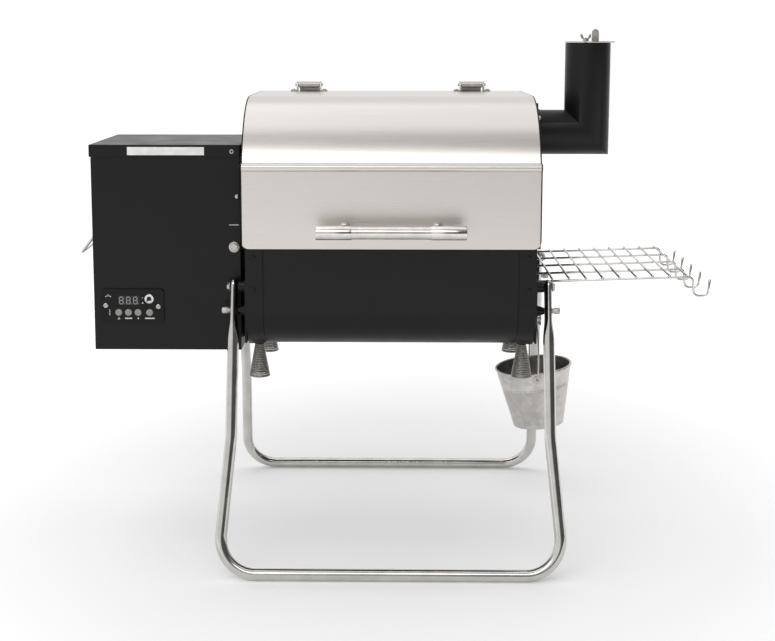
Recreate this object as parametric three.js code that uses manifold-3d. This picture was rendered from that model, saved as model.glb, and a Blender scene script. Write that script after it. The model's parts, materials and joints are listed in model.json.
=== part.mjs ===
// Portable pellet smoker grill, in millimetres.
// +X runs to the chimney end, +Y to the back and +Z up. The origin is on the ground, below the
// middle of the barrel. The barrel stands on two folding U-shaped legs.
import * as THREE from 'three';
import Module from 'manifold-3d';
import { mergeVertices } from 'three/addons/utils/BufferGeometryUtils.js';

const wasm = await Module();
wasm.setup();

// ---- Driving dimensions -------------------------------------------------------------------

const GAP = 0.4; // clearance between pieces that touch
const SHEET = 2; // folded sheet of the body
const LID_SHEET = 1.6; // stainless sheet of the lid
const HALF_LID = 240; // half the lid's width
const HALF_BODY = 234; // to the outer faces of the end caps
const HALF_DEPTH = 190; // barrel front and back from its middle
const BELLY_Z = 348; // underside of the barrel
const BELLY_RADIUS = 75; // lower corners of the barrel
const RIM_Z = 530; // top of the barrel's front wall
const DOME = { y: -40, z: 607, r: 150 }; // arc of the lid's sloping front, outer face
const LID_FRONT_Y = -195;
const LID_LIP_Z = 519;
const LID_REAR_Y = 174;
const LID_TOP_Z = DOME.z + DOME.r;
const CAP_RADIUS = 145; // the end caps follow the lid inside it
const FLANGE_WIDTH = 28; // end caps lap this far over the barrel shell

const HINGE = { y: 165, z: 769, x: 150, half: 21.5 }; // lid hinge axis and its two pairs of lugs

const HOPPER = { x0: -492, x1: -248, y0: -131, y1: 101, z0: 339, top: 681 };
const HOPPER_PIN = { x: -257, z: 670, r: 7.5 };
const SKIRT = 20; // depth of the hopper lid's edge

const FAN = { y: 58, z: 378, r: 34 }; // combustion fan, beside the auger motor
const INLET = { y: 44, z: 454, w: 32, h: 28 }; // power inlet on the hopper's outer end
const AUGER = { y: -15, z: 412, x0: -452, x1: -88, tube: 24, flight: 19.5, shaft: 6, pitch: 42 };
const POT = { x: -40, r: 46, z0: 368, z1: 440 };

const PANEL = { x: -428, z: 412.5, w: 104, h: 58, t: 3 };
const BUTTON_X = [-22.7, -6.7, 9.3, 28.5]; // from the middle of the panel
const BUTTON = { z: -9.9, r: 5.6 };
const JACK = { x: 28.4, z: 13.2, r: 7.8 };
const WINDOW = { x: -5.9, z: 10.1, w: 38, h: 18 };

const CHIMNEY = { x: 336, y: -5, z: 693.5, r: 38.2, wall: 1.5, top: 846 };

const TUBE_R = 9.525; // three-quarter inch leg tube
const TUBE_SIDES = 12;
const PIVOT = { y: 150, z: 450 }; // leg hinges, front and back alike
const FOOT_Y = 277; // middle of each foot bar
const FRONT_LEG = { top: 257, bottom: 275, kink: 245 };
const REAR_LEG = { top: 278, bottom: 283, kink: 245 };
const LEG_CORNER = 56;
const FLAT = { across: 6.5, along: 13, from: 52, to: 88 }; // flattened top of a leg
const LOCK_DROP = 39; // lock pins below the pivots, along the leg
const LOCK_R = 3;

const SHELF = { x0: 238.5, end: 497, y0: -131, y1: 131, z: 455.5, wire: 2, pitch: 27.5, first: 266.6 };
const SHELF_RISE = THREE.MathUtils.degToRad(1.9); // towards its outer end
const SHELF_LEAN = THREE.MathUtils.degToRad(1.3); // towards the back
const HOOK = { drop: 32, toe: 2, width: 23, flare: 3.1, tip: 27, bend: 9 }; // J-hooks of the shelf

const BUCKET = { x: 250, y: -20, z: 286, top: 65, bottom: 43, height: 103, wall: 1.3 };
const BUCKET_TILT = THREE.MathUtils.degToRad(-6.3);
const SPOUT = { x1: 262, z: 370, r: 10 };
const EAR_DROP = 9; // bail holes below the bucket's rim

const FOOT_SPRING = { x: 220, y: [-110, 70], bottom: 290, r0: 18, r1: 7.6 };

// ---- Materials ----------------------------------------------------------------------------

function finish(color, roughness, metalness) {
  return () => new THREE.MeshStandardMaterial({ color, roughness, metalness });
}

const blackPaint = finish(0x1c1a1b, 0.5, 0.3);
const stainless = finish(0xc9c5c0, 0.3, 1);
const chrome = finish(0xd2d0cc, 0.15, 1);
const zinc = finish(0xb5b2ad, 0.4, 1);
const rawSteel = finish(0x77736e, 0.55, 0.9);
const plastic = finish(0x232323, 0.4, 0);
const greyRubber = finish(0x7d8079, 0.7, 0);
const glass = finish(0x0c0d0c, 0.1, 0);
const circuitGreen = finish(0x1d4a2c, 0.6, 0);

// ---- Solids -------------------------------------------------------------------------------

/** The manifold solid of a closed geometry. */
function solid(geometry) {
  const bare = geometry.index ? geometry.toNonIndexed() : geometry.clone();
  bare.deleteAttribute('normal');
  bare.deleteAttribute('uv');
  const merged = mergeVertices(bare, 1e-4);
  const mesh = new wasm.Mesh({
    numProp: 3,
    vertProperties: new Float32Array(merged.attributes.position.array),
    triVerts: new Uint32Array(merged.index.array),
  });
  return new wasm.Manifold(mesh);
}

/** A three.js geometry of a manifold solid. */
function geometryOf(body) {
  const { vertProperties, triVerts } = body.getMesh();
  const geometry = new THREE.BufferGeometry();
  geometry.setAttribute('position', new THREE.BufferAttribute(vertProperties, 3));
  geometry.setIndex(new THREE.BufferAttribute(triVerts, 1));
  geometry.computeVertexNormals();
  return geometry;
}

const join = (...bodies) => bodies.reduce((whole, body) => whole.add(body));
const cut = (body, ...tools) => tools.reduce((whole, tool) => whole.subtract(tool), body);

/** A block between two opposite corners. */
function block([x0, y0, z0], [x1, y1, z1]) {
  const geometry = new THREE.BoxGeometry(x1 - x0, y1 - y0, z1 - z0);
  return solid(geometry.translate((x0 + x1) / 2, (y0 + y1) / 2, (z0 + z1) / 2));
}

/** A cylinder or cone whose axis runs along x, y or z, from `from` to `to`. */
function rod(axis, [a, b], radius, from, to, sides = 24, endRadius = radius) {
  const geometry = new THREE.CylinderGeometry(endRadius, radius, to - from, sides);
  const middle = (from + to) / 2;
  if (axis === 'x') geometry.rotateZ(-Math.PI / 2).translate(middle, a, b);
  if (axis === 'y') geometry.translate(a, middle, b);
  if (axis === 'z') geometry.rotateX(Math.PI / 2).translate(a, b, middle);
  return solid(geometry);
}

/** A flat outline in (y, z), extruded along X from x0 to x1. */
function alongX(outline, x0, x1) {
  const shape = new THREE.Shape(outline.map(([y, z]) => new THREE.Vector2(y, z)));
  const geometry = new THREE.ExtrudeGeometry(shape, { depth: x1 - x0, bevelEnabled: false });
  geometry.rotateY(Math.PI / 2).rotateX(Math.PI / 2);
  return solid(geometry.translate(x0, 0, 0));
}

/** A flat outline in (x, z), extruded along Y from y0 to y1. */
function alongY(outline, y0, y1) {
  const shape = new THREE.Shape(outline.map(([x, z]) => new THREE.Vector2(x, z)));
  const geometry = new THREE.ExtrudeGeometry(shape, { depth: y1 - y0, bevelEnabled: false });
  return solid(geometry.rotateX(Math.PI / 2).translate(0, y1, 0));
}

/** Points of an arc about (cy, cz) from angle a0 to a1, in degrees. */
function arc(cy, cz, r, a0, a1, steps) {
  return Array.from({ length: steps + 1 }, (_, i) => {
    const a = THREE.MathUtils.degToRad(a0 + ((a1 - a0) * i) / steps);
    return [cy + r * Math.cos(a), cz + r * Math.sin(a)];
  });
}

/** A rectangle with round corners, as outline points. */
function roundedRectangle(w, h, r, cx = 0, cz = 0) {
  const corners = [[1, 1, 0], [-1, 1, 90], [-1, -1, 180], [1, -1, 270]];
  return corners.flatMap(([sx, sz, a]) =>
    arc(cx + sx * (w / 2 - r), cz + sz * (h / 2 - r), r, a, a + 90, 4));
}

/** A closed skin through rings of points, each ring the same length, capped at both ends. */
function loft(rings) {
  const sides = rings[0].length;
  const points = rings.flat();
  const index = [];
  for (let i = 0; i < rings.length - 1; i += 1) {
    for (let j = 0; j < sides; j += 1) {
      const a = i * sides + j;
      const b = i * sides + ((j + 1) % sides);
      index.push(a, b, b + sides, a, b + sides, a + sides);
    }
  }
  const last = (rings.length - 1) * sides;
  for (let j = 1; j < sides - 1; j += 1) {
    index.push(0, j + 1, j, last, last + j, last + j + 1);
  }
  const geometry = new THREE.BufferGeometry().setFromPoints(points);
  geometry.setIndex(index);
  const body = solid(geometry);
  if (body.volume() >= 0) return body;
  geometry.setIndex(index.reverse());
  return solid(geometry);
}

const NEARLY_STRAIGHT = THREE.MathUtils.degToRad(150); // wider corners of a wire get no fillet

/** A round wire through points, with fillets of radius `bend` at the inner points. */
function wire(points, radius, bend, sides = 6) {
  const path = new THREE.CurvePath();
  let start = points[0];
  for (let i = 1; i < points.length - 1; i += 1) {
    const back = points[i - 1].clone().sub(points[i]).normalize();
    const on = points[i + 1].clone().sub(points[i]).normalize();
    if (back.angleTo(on) > NEARLY_STRAIGHT) {
      path.add(new THREE.LineCurve3(start, points[i]));
      start = points[i];
      continue;
    }
    const reach = bend / Math.tan(back.angleTo(on) / 2);
    const enter = points[i].clone().addScaledVector(back, reach);
    const leave = points[i].clone().addScaledVector(on, reach);
    path.add(new THREE.LineCurve3(start, enter));
    path.add(new THREE.QuadraticBezierCurve3(enter, points[i], leave));
    start = leave;
  }
  path.add(new THREE.LineCurve3(start, points[points.length - 1]));
  const stations = path.curves.flatMap((curve, i) => {
    const steps = curve.isLineCurve3 ? 1 : 4;
    return Array.from({ length: steps + (i === path.curves.length - 1 ? 1 : 0) }, (_, k) => ({
      at: curve.getPoint(k / steps),
      tangent: curve.getTangent(k / steps),
    }));
  });
  return loft(stations.map(({ at, tangent }, i) => ringAcross(stations, i, at, tangent, radius, sides)));
}

/** One ring of a wire, carried along without twist from the ring before it. */
function ringAcross(stations, i, at, tangent, radius, sides) {
  const station = stations[i];
  const before = i > 0 ? stations[i - 1].normal : anyNormal(tangent);
  station.normal = before.clone().addScaledVector(tangent, -before.dot(tangent)).normalize();
  const binormal = new THREE.Vector3().crossVectors(tangent, station.normal);
  return Array.from({ length: sides }, (_, j) => {
    const a = ((j + 0.5) / sides) * 2 * Math.PI;
    return at.clone()
      .addScaledVector(station.normal, radius * Math.cos(a))
      .addScaledVector(binormal, radius * Math.sin(a));
  });
}

function anyNormal(tangent) {
  const guide = Math.abs(tangent.z) < 0.9 ? new THREE.Vector3(0, 0, 1) : new THREE.Vector3(0, 1, 0);
  return guide.addScaledVector(tangent, -guide.dot(tangent)).normalize();
}

/** A turned solid from (radius, height) points, its axis along +Z. */
function turned(profile, sides) {
  const points = profile.map(([r, z]) => new THREE.Vector2(r, z));
  return solid(new THREE.LatheGeometry(points, sides).rotateX(Math.PI / 2));
}

// ---- Scene graph --------------------------------------------------------------------------

const grill = new THREE.Group();

/** Puts a finished solid into the grill, or into a group of it. */
function piece(name, body, material, parent = grill) {
  const mesh = new THREE.Mesh(geometryOf(body), material());
  mesh.name = name;
  parent.add(mesh);
  return mesh;
}

// ---- Barrel -------------------------------------------------------------------------------

const BACK_TOP_Z = DOME.z + CAP_RADIUS; // the body's highest edge, just under the lid
const BACK_CORNER = 16;
const FLANGE_INSET = SHEET + GAP; // the shell sits this far inside the end caps' flanges
const GRATE = { half: 225, depth: 176, z: 508 };
const TRAY = { half: 222, depth: 168, left: 480, right: 452 }; // slopes down to the spout
const BRACKET = { x: 165, half: 15, t: 2 }; // brackets that carry the grate and the tray

/** The trough's outline from its front rim, under the belly and up the back, moved in by d. */
function trough(d, frontTop, backTop) {
  const side = HALF_DEPTH - d;
  const r = BELLY_RADIUS - d;
  const low = BELLY_Z + BELLY_RADIUS;
  const inner = HALF_DEPTH - BELLY_RADIUS;
  return [
    [-side, frontTop],
    ...arc(-inner, low, r, 180, 270, 7),
    ...arc(inner, low, r, 270, 360, 7),
    [side, backTop],
  ];
}

function barrelShell() {
  const outside = FLANGE_INSET;
  const inside = FLANGE_INSET + SHEET;
  const corner = HALF_DEPTH - BACK_CORNER;
  const rail = 138; // the back wall bends forward to here, below the lid's rear edge
  const lip = -176; // the front rim bends in to here
  const outer = [
    [lip, RIM_Z],
    ...trough(outside, RIM_Z, BACK_TOP_Z - BACK_CORNER),
    ...arc(corner, BACK_TOP_Z - BACK_CORNER, BACK_CORNER - outside, 0, 90, 4).slice(1),
    [rail, BACK_TOP_Z - outside],
  ];
  const inner = [
    [lip, RIM_Z - SHEET],
    ...trough(inside, RIM_Z - SHEET, BACK_TOP_Z - BACK_CORNER),
    ...arc(corner, BACK_TOP_Z - BACK_CORNER, BACK_CORNER - inside, 0, 90, 4).slice(1),
    [rail, BACK_TOP_Z - inside],
  ];
  const half = HALF_BODY - SHEET - GAP;
  return join(alongX([...outer, ...inner.reverse()], -half, half), ...innerBrackets());
}

/** Eight brackets on the front and back walls: four below the grate's rim, four below the tray. */
function innerBrackets() {
  const wall = HALF_DEPTH - FLANGE_INSET - 1;
  const fall = (TRAY.left - TRAY.right) / (2 * TRAY.half);
  const shelfAt = (x, depth, top) => [-1, 1].map((side) => block(
    [x - BRACKET.half, Math.min(side * wall, side * depth), top - BRACKET.t],
    [x + BRACKET.half, Math.max(side * wall, side * depth), top],
  ));
  return [-BRACKET.x, BRACKET.x].flatMap((x) => {
    const trayUnderside = TRAY.left - fall * (x + BRACKET.half + TRAY.half);
    return [
      ...shelfAt(x, GRATE.depth - 6, GRATE.z - 3.6 - GAP),
      ...shelfAt(x, TRAY.depth - 8, trayUnderside - GAP),
    ];
  });
}

/** An end cap: a flat plate as high as the lid, with a flange round the barrel shell. */
function endCap(side) {
  const top = arc(DOME.y, DOME.z, CAP_RADIUS, 90, 160, 10);
  const corner = arc(HALF_DEPTH - BACK_CORNER, BACK_TOP_Z - BACK_CORNER, BACK_CORNER, 0, 90, 4);
  const outline = [...trough(0, DOME.z + 32, BACK_TOP_Z - BACK_CORNER), ...corner, ...top];
  const outer = trough(0, RIM_Z, BACK_TOP_Z - BACK_CORNER);
  const inner = trough(SHEET, RIM_Z, BACK_TOP_Z - BACK_CORNER);
  const ends = [side * HALF_BODY, side * (HALF_BODY - SHEET)].sort((a, b) => a - b);
  const band = [side * (HALF_BODY - 1), side * (HALF_BODY - FLANGE_WIDTH)].sort((a, b) => a - b);
  return join(alongX(outline, ...ends), alongX([...outer, ...inner.reverse()], ...band));
}

function barrel() {
  piece('barrel_shell', barrelShell(), blackPaint);
  const augerHole = rod('x', [AUGER.y, AUGER.z], AUGER.tube + 1, -HALF_BODY - 5, -HALF_BODY + 5);
  const probeHole = rod('x', [60, 600], 3.4, -HALF_BODY - 5, -HALF_BODY + 5, 12);
  piece('left_end_cap', cut(endCap(-1), augerHole, probeHole), blackPaint);
  const smokeHole = rod('x', [CHIMNEY.y, CHIMNEY.z], CHIMNEY.r - 2, HALF_BODY - 5, HALF_BODY + 5, 20);
  const spoutHole = rod('x', [BUCKET.y, SPOUT.z], SPOUT.r + GAP, HALF_BODY - 5, HALF_BODY + 5, 20);
  piece('right_end_cap', cut(endCap(1), smokeHole, spoutHole), blackPaint);
}

// ---- Inside the barrel --------------------------------------------------------------------

function cookingGrate() {
  const { half, depth, z } = GRATE;
  const bars = [];
  const pitch = 24.6;
  for (let x = -half + pitch; x < half - pitch / 2; x += pitch) {
    bars.push(rod('y', [x, z + 2.4], 2.4, -depth + 2, depth - 2, 4));
  }
  [-depth, 0, depth].forEach((y) => bars.push(rod('x', [y, z - 0.6], 3, -half, half, 6)));
  [-1, 1].forEach((s) => bars.push(rod('y', [s * (half - 3), z - 0.6], 3, -depth, depth, 6)));
  return join(...bars);
}

/** A sheet that slopes down to the spout, with a turned-up rim all round. */
function greaseTray() {
  const { half, depth, left, right } = TRAY;
  const floor = [[-half, left], [half, right], [half, right + 1.6], [-half, left + 1.6]];
  const wall = [[-half, left], [half, right], [half, right + 16], [-half, left + 12]];
  return join(
    alongY(floor, -depth, depth),
    alongY(wall, -depth, -depth + 1.6),
    alongY(wall, depth - 1.6, depth),
    block([-half, -depth, left], [-half + 1.6, depth, left + 12]),
  );
}

function insides() {
  piece('cooking_grate', cookingGrate(), rawSteel);
  piece('grease_tray', greaseTray(), rawSteel);
  const roof = [[-130, 441], [-80, 453], [40, 453], [90, 441]];
  const roofTop = roof.map(([x, z]) => [x, z + 1.6]).reverse();
  piece('heat_baffle', alongY([...roof, ...roofTop], -70, 70), rawSteel);

  const potHole = rod('x', [AUGER.y, AUGER.z], AUGER.tube + GAP, POT.x - 70, POT.x - 20);
  const rodHole = rod('y', [POT.x, 388], 6, -90, AUGER.y - 20, 12);
  const airHoles = [60, 120, 240, 300].map((turn) => {
    const a = THREE.MathUtils.degToRad(turn);
    const hole = new THREE.CylinderGeometry(3, 3, 24, 6).rotateZ(Math.PI / 2).translate(POT.r, 0, 382);
    return solid(hole.rotateZ(a).translate(POT.x, AUGER.y, 0));
  });
  const cup = turned([[0, POT.z0], [POT.r, POT.z0], [POT.r, POT.z1], [POT.r - 2, POT.z1],
    [POT.r - 2, POT.z0 + 2], [0, POT.z0 + 2]], 20).translate([POT.x, AUGER.y, 0]);
  piece('fire_pot', cut(cup, potHole, rodHole, ...airHoles), rawSteel);
  piece('igniter_rod', rod('y', [POT.x, 388], 5, -128, AUGER.y - 32, 12), stainless);
  piece('temperature_probe', join(
    rod('x', [60, 600], 3, -HALF_BODY - 8, -150, 12),
    rod('x', [60, 600], 7, -HALF_BODY + SHEET + GAP, -HALF_BODY + 8, 6),
  ), stainless);
}

// ---- Lid ----------------------------------------------------------------------------------

/** The lid's outline from its front lip to its rear edge, moved in by d. */
function lidCurve(d) {
  const bead = d < LID_SHEET ? arc(LID_FRONT_Y + 4, 649, 7, 235, 100, 5) : [];
  return [
    [LID_FRONT_Y + d, LID_LIP_Z],
    [LID_FRONT_Y + d, 641],
    ...bead,
    ...arc(DOME.y, DOME.z, DOME.r - d, 161, 90, 14),
    [LID_REAR_Y, LID_TOP_Z - d],
  ];
}

function lidSkin() {
  const skin = alongX([...lidCurve(0), ...lidCurve(LID_SHEET).reverse()], -HALF_LID, HALF_LID);
  const rimDepth = 14;
  const rim = [...lidCurve(0), ...lidCurve(rimDepth).reverse()];
  const leftRim = alongX(rim, -HALF_LID, -HALF_LID + SHEET);
  const rightRim = alongX(rim, HALF_LID - SHEET, HALF_LID);
  const whole = join(skin, leftRim, rightRim);
  const r = 13;
  const corners = [-1, 1].map((side) => {
    const x = side * HALF_LID;
    const waste = block(
      [Math.min(x, x - side * r), LID_FRONT_Y - 5, LID_LIP_Z - 1],
      [Math.max(x, x - side * r), LID_FRONT_Y + 20, LID_LIP_Z + r],
    );
    return cut(waste, rod('y', [x - side * r, LID_LIP_Z + r], r, LID_FRONT_Y - 9, LID_FRONT_Y + 25, 24));
  });
  return cut(whole, ...corners);
}

/** A pair of lugs on the lid with their pin: feet outside, ears standing up. */
function hingeLugs(x) {
  const foot = LID_TOP_Z + GAP;
  const ears = [-1, 1].map((side) => {
    const outline = [
      ...arc(HINGE.y, HINGE.z, 6.5, 0, 180, 8),
      [HINGE.y - 13, foot],
      [HINGE.y + 9, foot],
    ];
    const inner = x + side * (HINGE.half - 1.25);
    const outer = x + side * (HINGE.half + 1.25);
    const far = x + side * (HINGE.half + 12);
    return join(
      alongX(outline, Math.min(inner, outer), Math.max(inner, outer)),
      block([Math.min(inner, far), HINGE.y - 13, foot], [Math.max(inner, far), HINGE.y + 9, foot + 2]),
    );
  });
  const reach = HINGE.half + 4;
  return join(...ears, rod('x', [HINGE.y, HINGE.z], 2.6, x - reach, x + reach, 12));
}

/** The body's half of a hinge: an arm up the back wall that ends in an eye round the pin. */
function hingeArm(x) {
  const half = HINGE.half - 2.5;
  const y0 = HALF_DEPTH + GAP;
  const bend = HINGE.z + 1.2;
  const strip = [
    [y0, 690],
    [y0 + 2.5, 690],
    [y0 + 2.5, bend + 1.3],
    [HINGE.y, bend + 1.3],
    [HINGE.y, bend - 1.2],
    [y0, bend - 1.2],
  ];
  const eye = rod('x', [HINGE.y, HINGE.z], 5.6, x - half, x + half, 16);
  const arm = join(alongX(strip, x - half, x + half), eye);
  return cut(arm, rod('x', [HINGE.y, HINGE.z], 3.2, x - 40, x + 40, 16));
}

function lid() {
  piece('lid_skin', lidSkin(), stainless);
  const y = -253;
  const z = 554;
  const end = 117.5;
  const sleeve = 56;
  const bar = turned([[0, -end], [10, -end], [11, -end + 1.2], [11, -end + sleeve], [10, -end + sleeve + 0.6],
    [10, end - sleeve - 0.6], [11, end - sleeve], [11, end - 1.2], [10, end], [0, end]], 20);
  piece('lid_handle_bar', bar.rotate([0, 90, 0]).translate([0, y, z]), stainless);
  [['left', -74], ['right', 74]].forEach(([side, x]) => {
    const post = join(
      rod('y', [x, z], 6, y + 11 + GAP, LID_FRONT_Y - GAP, 16),
      rod('y', [x, z], 9, LID_FRONT_Y - GAP - 3, LID_FRONT_Y - GAP, 16),
    );
    piece(`lid_handle_post_${side}`, post, stainless);
  });
  [['left', -HINGE.x], ['right', HINGE.x]].forEach(([side, x]) => {
    piece(`lid_hinge_lugs_${side}`, hingeLugs(x), zinc);
    piece(`lid_hinge_arm_${side}`, hingeArm(x), zinc);
  });
}

// ---- Hopper -------------------------------------------------------------------------------

function hopperBox() {
  const { x0, x1, y0, y1, z0 } = HOPPER;
  const wallTop = HOPPER.top - 5;
  const shell = cut(
    block([x0, y0, z0], [x1, y1, wallTop]),
    block([x0 + SHEET, y0 + SHEET, z0 + SHEET], [x1 - SHEET, y1 - SHEET, wallTop + 1]),
    block([HOPPER_PIN.x, y0 - 1, HOPPER_PIN.z - 1], [x1 + 1, y1 + 1, wallTop + 1]),
    rod('x', [AUGER.y, AUGER.z], AUGER.tube + 1, x1 - 9, x1 + 9),
    rod('x', [60, 600], 5, x1 - 9, x1 + 9, 12),
    block([x1 - 18, y0 - 1, 548], [x1 - SHEET, y0 + 1, 549.6]),
    block([x0 - 1, INLET.y - 14, INLET.z - 12], [x0 + 5, INLET.y + 14, INLET.z + 12]),
    rod('x', [FAN.y, FAN.z], FAN.r - 8, x0 - 5, x0 + 5, 20),
  );
  const ears = [y0, y1 - SHEET].map((y) =>
    rod('y', [HOPPER_PIN.x, HOPPER_PIN.z], HOPPER_PIN.r, y, y + SHEET, 20));
  return join(shell, ...ears);
}

function hopperLid() {
  const { x0, x1, y0, y1, top } = HOPPER;
  const over = SHEET + GAP;
  return cut(
    block([x0 - over, y0 - over, top - SKIRT], [x1 + 1, y1 + over, top]),
    block([x0 - over + SHEET, y0 - over + SHEET, top - SKIRT - 1], [x1 + 2, y1 + over - SHEET, top - 1.5]),
  );
}

/** The pellet bin: a square funnel that narrows to the auger's mouth. */
function pelletBin() {
  const top = 655;
  const bottom = AUGER.z + 42;
  const wide = 112 * Math.SQRT2;
  const narrow = 26 * Math.SQRT2;
  const wall = 1.6;
  const frustum = (grow, extra) => {
    const slope = (wide - narrow) / (top - bottom);
    const geometry = new THREE.CylinderGeometry(
      wide + grow + slope * extra,
      narrow + grow - slope * extra,
      top - bottom + 2 * extra,
      4,
    );
    geometry.rotateX(Math.PI / 2).rotateZ(Math.PI / 4);
    return solid(geometry.translate((HOPPER.x0 + HOPPER.x1) / 2, AUGER.y, (top + bottom) / 2));
  };
  return cut(frustum(0, 0), frustum(-wall * Math.SQRT2, 1));
}

/** The auger: a shaft with one flight wound round it. */
function auger() {
  const { x0, x1, y, z, flight, shaft, pitch } = AUGER;
  const from = x0 + 12;
  const to = x1 - 6;
  const perTurn = 8;
  const count = Math.round(((to - from - 20) / pitch) * perTurn);
  const rings = Array.from({ length: count + 1 }, (_, i) => {
    const a = (i / perTurn) * 2 * Math.PI;
    const x = from + 10 + (i / perTurn) * pitch;
    const at = (dx, r) => new THREE.Vector3(x + dx, y + r * Math.cos(a), z + r * Math.sin(a));
    return [at(-1.5, shaft - 2), at(-1.5, flight), at(1.5, flight), at(1.5, shaft - 2)];
  });
  return join(loft(rings), rod('x', [y, z], shaft, x0 - 10, to, 8));
}

function feed() {
  const { x0, x1, y, z, tube } = AUGER;
  const mouth = (HOPPER.x0 + HOPPER.x1) / 2;
  const pipe = cut(
    rod('x', [y, z], tube, x0, x1, 24),
    rod('x', [y, z], tube - 2, x0 - 1, x1 + 1, 24),
    block([mouth - 25, y - 15, z], [mouth + 25, y + 15, z + 40]),
  );
  const collar = cut(
    block([mouth - 28, y - 28, z + 12], [mouth + 28, y + 28, z + 40]),
    block([mouth - 25.5, y - 15, z - 10], [mouth + 25.5, y + 15, z + 50]),
    rod('x', [y, z], tube - 1, mouth - 40, mouth + 40, 24),
  );
  piece('auger_tube', join(pipe, collar), rawSteel);
  piece('auger', auger(), rawSteel);
  const motor = join(
    block([HOPPER.x0 + 4, y - 30, z - 34], [x0 - GAP, y + 30, z + 30]),
    rod('x', [y, z - 8], 20, HOPPER.x0 + 3, x0 - 10, 16),
  );
  piece('auger_motor', cut(motor, rod('x', [y, z], 6.6, x0 - 12, x0 + 1, 12)), rawSteel);

  const pass = cut(
    block([HOPPER.x1 + GAP, -90, 352], [-HALF_BODY - GAP, 70, 640]),
    block([HOPPER.x1 - 1, -84, 358], [-HALF_BODY + 1, 64, 634]),
  );
  piece('hopper_mount_frame', pass, blackPaint);

  fan();
}

/** The combustion fan: a drum with a round intake towards the hopper's end, and its wheel. */
function fan() {
  const axis = [FAN.y, FAN.z];
  const x = HOPPER.x0;
  const housing = cut(
    rod('x', axis, FAN.r, x + 3, x + 39, 24),
    rod('x', axis, FAN.r - 2, x + 5, x + 37, 24),
    rod('x', axis, FAN.r - 10, x, x + 8, 24),
  );
  piece('fan_housing', housing, rawSteel);
  const bladeCount = 9;
  const blades = Array.from({ length: bladeCount }, (_, i) => {
    const blade = new THREE.BoxGeometry(22, 1.4, 14).translate(x + 20, 0, 15);
    blade.rotateX((i / bladeCount) * 2 * Math.PI);
    return solid(blade.translate(0, FAN.y, FAN.z));
  });
  piece('fan_wheel', join(rod('x', axis, 9, x + 8, x + 32, 16), ...blades), plastic);
}

function controls() {
  const face = HOPPER.y0 - GAP;
  const at = ({ x, z }) => [PANEL.x + x, PANEL.z + z];
  const plate = alongY(roundedRectangle(PANEL.w, PANEL.h, 6, PANEL.x, PANEL.z), face - PANEL.t, face);
  const holes = BUTTON_X.map((x) =>
    rod('y', at({ x, z: BUTTON.z }), BUTTON.r + 0.4, face - 9, face + 1, 16));
  const [wx, wz] = at(WINDOW);
  const window = block(
    [wx - WINDOW.w / 2, face - 9, wz - WINDOW.h / 2],
    [wx + WINDOW.w / 2, face + 1, wz + WINDOW.h / 2],
  );
  const jackHole = rod('y', at(JACK), 6, face - 9, face + 1, 20);
  piece('control_panel', cut(plate, ...holes, window, jackHole), plastic);
  piece('display_window', block(
    [wx - WINDOW.w / 2 + 0.3, face - PANEL.t + 0.4, wz - WINDOW.h / 2 + 0.3],
    [wx + WINDOW.w / 2 - 0.3, face - 0.3, wz + WINDOW.h / 2 - 0.3],
  ), glass);
  BUTTON_X.forEach((x, i) => {
    const cap = rod('y', at({ x, z: BUTTON.z }), BUTTON.r, face - PANEL.t - 1.8, face - 1.9, 16);
    piece(`button_${i + 1}`, cap, greyRubber);
  });
  const ring = cut(
    join(
      rod('y', at(JACK), JACK.r, face - PANEL.t - 2.8, face - PANEL.t - 0.3, 24),
      rod('y', at(JACK), 5.6, face - PANEL.t - 1, face - 0.3, 20),
    ),
    rod('y', at(JACK), 3.9, face - 20, face - 1.2, 16),
  );
  piece('probe_jack', ring, chrome);
  piece('controller_board', block(
    [PANEL.x - 48, HOPPER.y0 + SHEET + 4, PANEL.z - 26],
    [PANEL.x + 50, HOPPER.y0 + SHEET + 18, PANEL.z + 26],
  ), circuitGreen);
  const inletBlock = (w, h, from, to) => block(
    [HOPPER.x0 + from, INLET.y - w / 2, INLET.z - h / 2],
    [HOPPER.x0 + to, INLET.y + w / 2, INLET.z + h / 2],
  );
  const flange = inletBlock(INLET.w, INLET.h, -3, -GAP);
  const body = inletBlock(INLET.w - 5, INLET.h - 5, -1, 18);
  const socket = inletBlock(20, 16, -9, 14);
  piece('power_inlet', cut(join(flange, body), socket), plastic);
}

/** The drop handle on the hopper's end: a plate with two eyes and a swinging loop. */
function dropHandle() {
  const y = -15;
  const z = 524;
  const half = 36;
  const plate = block([HOPPER.x0 - GAP - 4, y - 50, z - 12], [HOPPER.x0 - GAP, y + 50, z + 12]);
  const eyes = [-1, 1].map((side) => {
    const middle = y + side * (half + 6);
    const knuckle = rod('y', [HOPPER.x0 - 9, z], 6, middle - 5, middle + 5, 16);
    const bore = rod('y', [HOPPER.x0 - 9, z], 3, middle - 9, middle + 9, 16);
    return cut(knuckle, bore);
  });
  piece('hopper_handle_plate', join(plate, ...eyes), plastic);
  const x = HOPPER.x0 - 9;
  const reach = half + 14;
  const low = z - 32;
  const out = x - 24.5;
  const ends = [
    new THREE.Vector3(x, y - half + 2, z),
    new THREE.Vector3(x, y - reach, z),
    new THREE.Vector3(out, y - reach, low),
    new THREE.Vector3(out, y + reach, low),
    new THREE.Vector3(x, y + reach, z),
    new THREE.Vector3(x, y + half - 2, z),
  ];
  piece('hopper_handle', wire(ends, 2.5, 4, 8), chrome);
}

function hopper() {
  piece('hopper_box', hopperBox(), blackPaint);
  piece('hopper_lid', hopperLid(), blackPaint);
  piece('pellet_bin', pelletBin(), zinc);
  feed();
  controls();
  dropHandle();
}

// ---- Chimney ------------------------------------------------------------------------------

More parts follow.
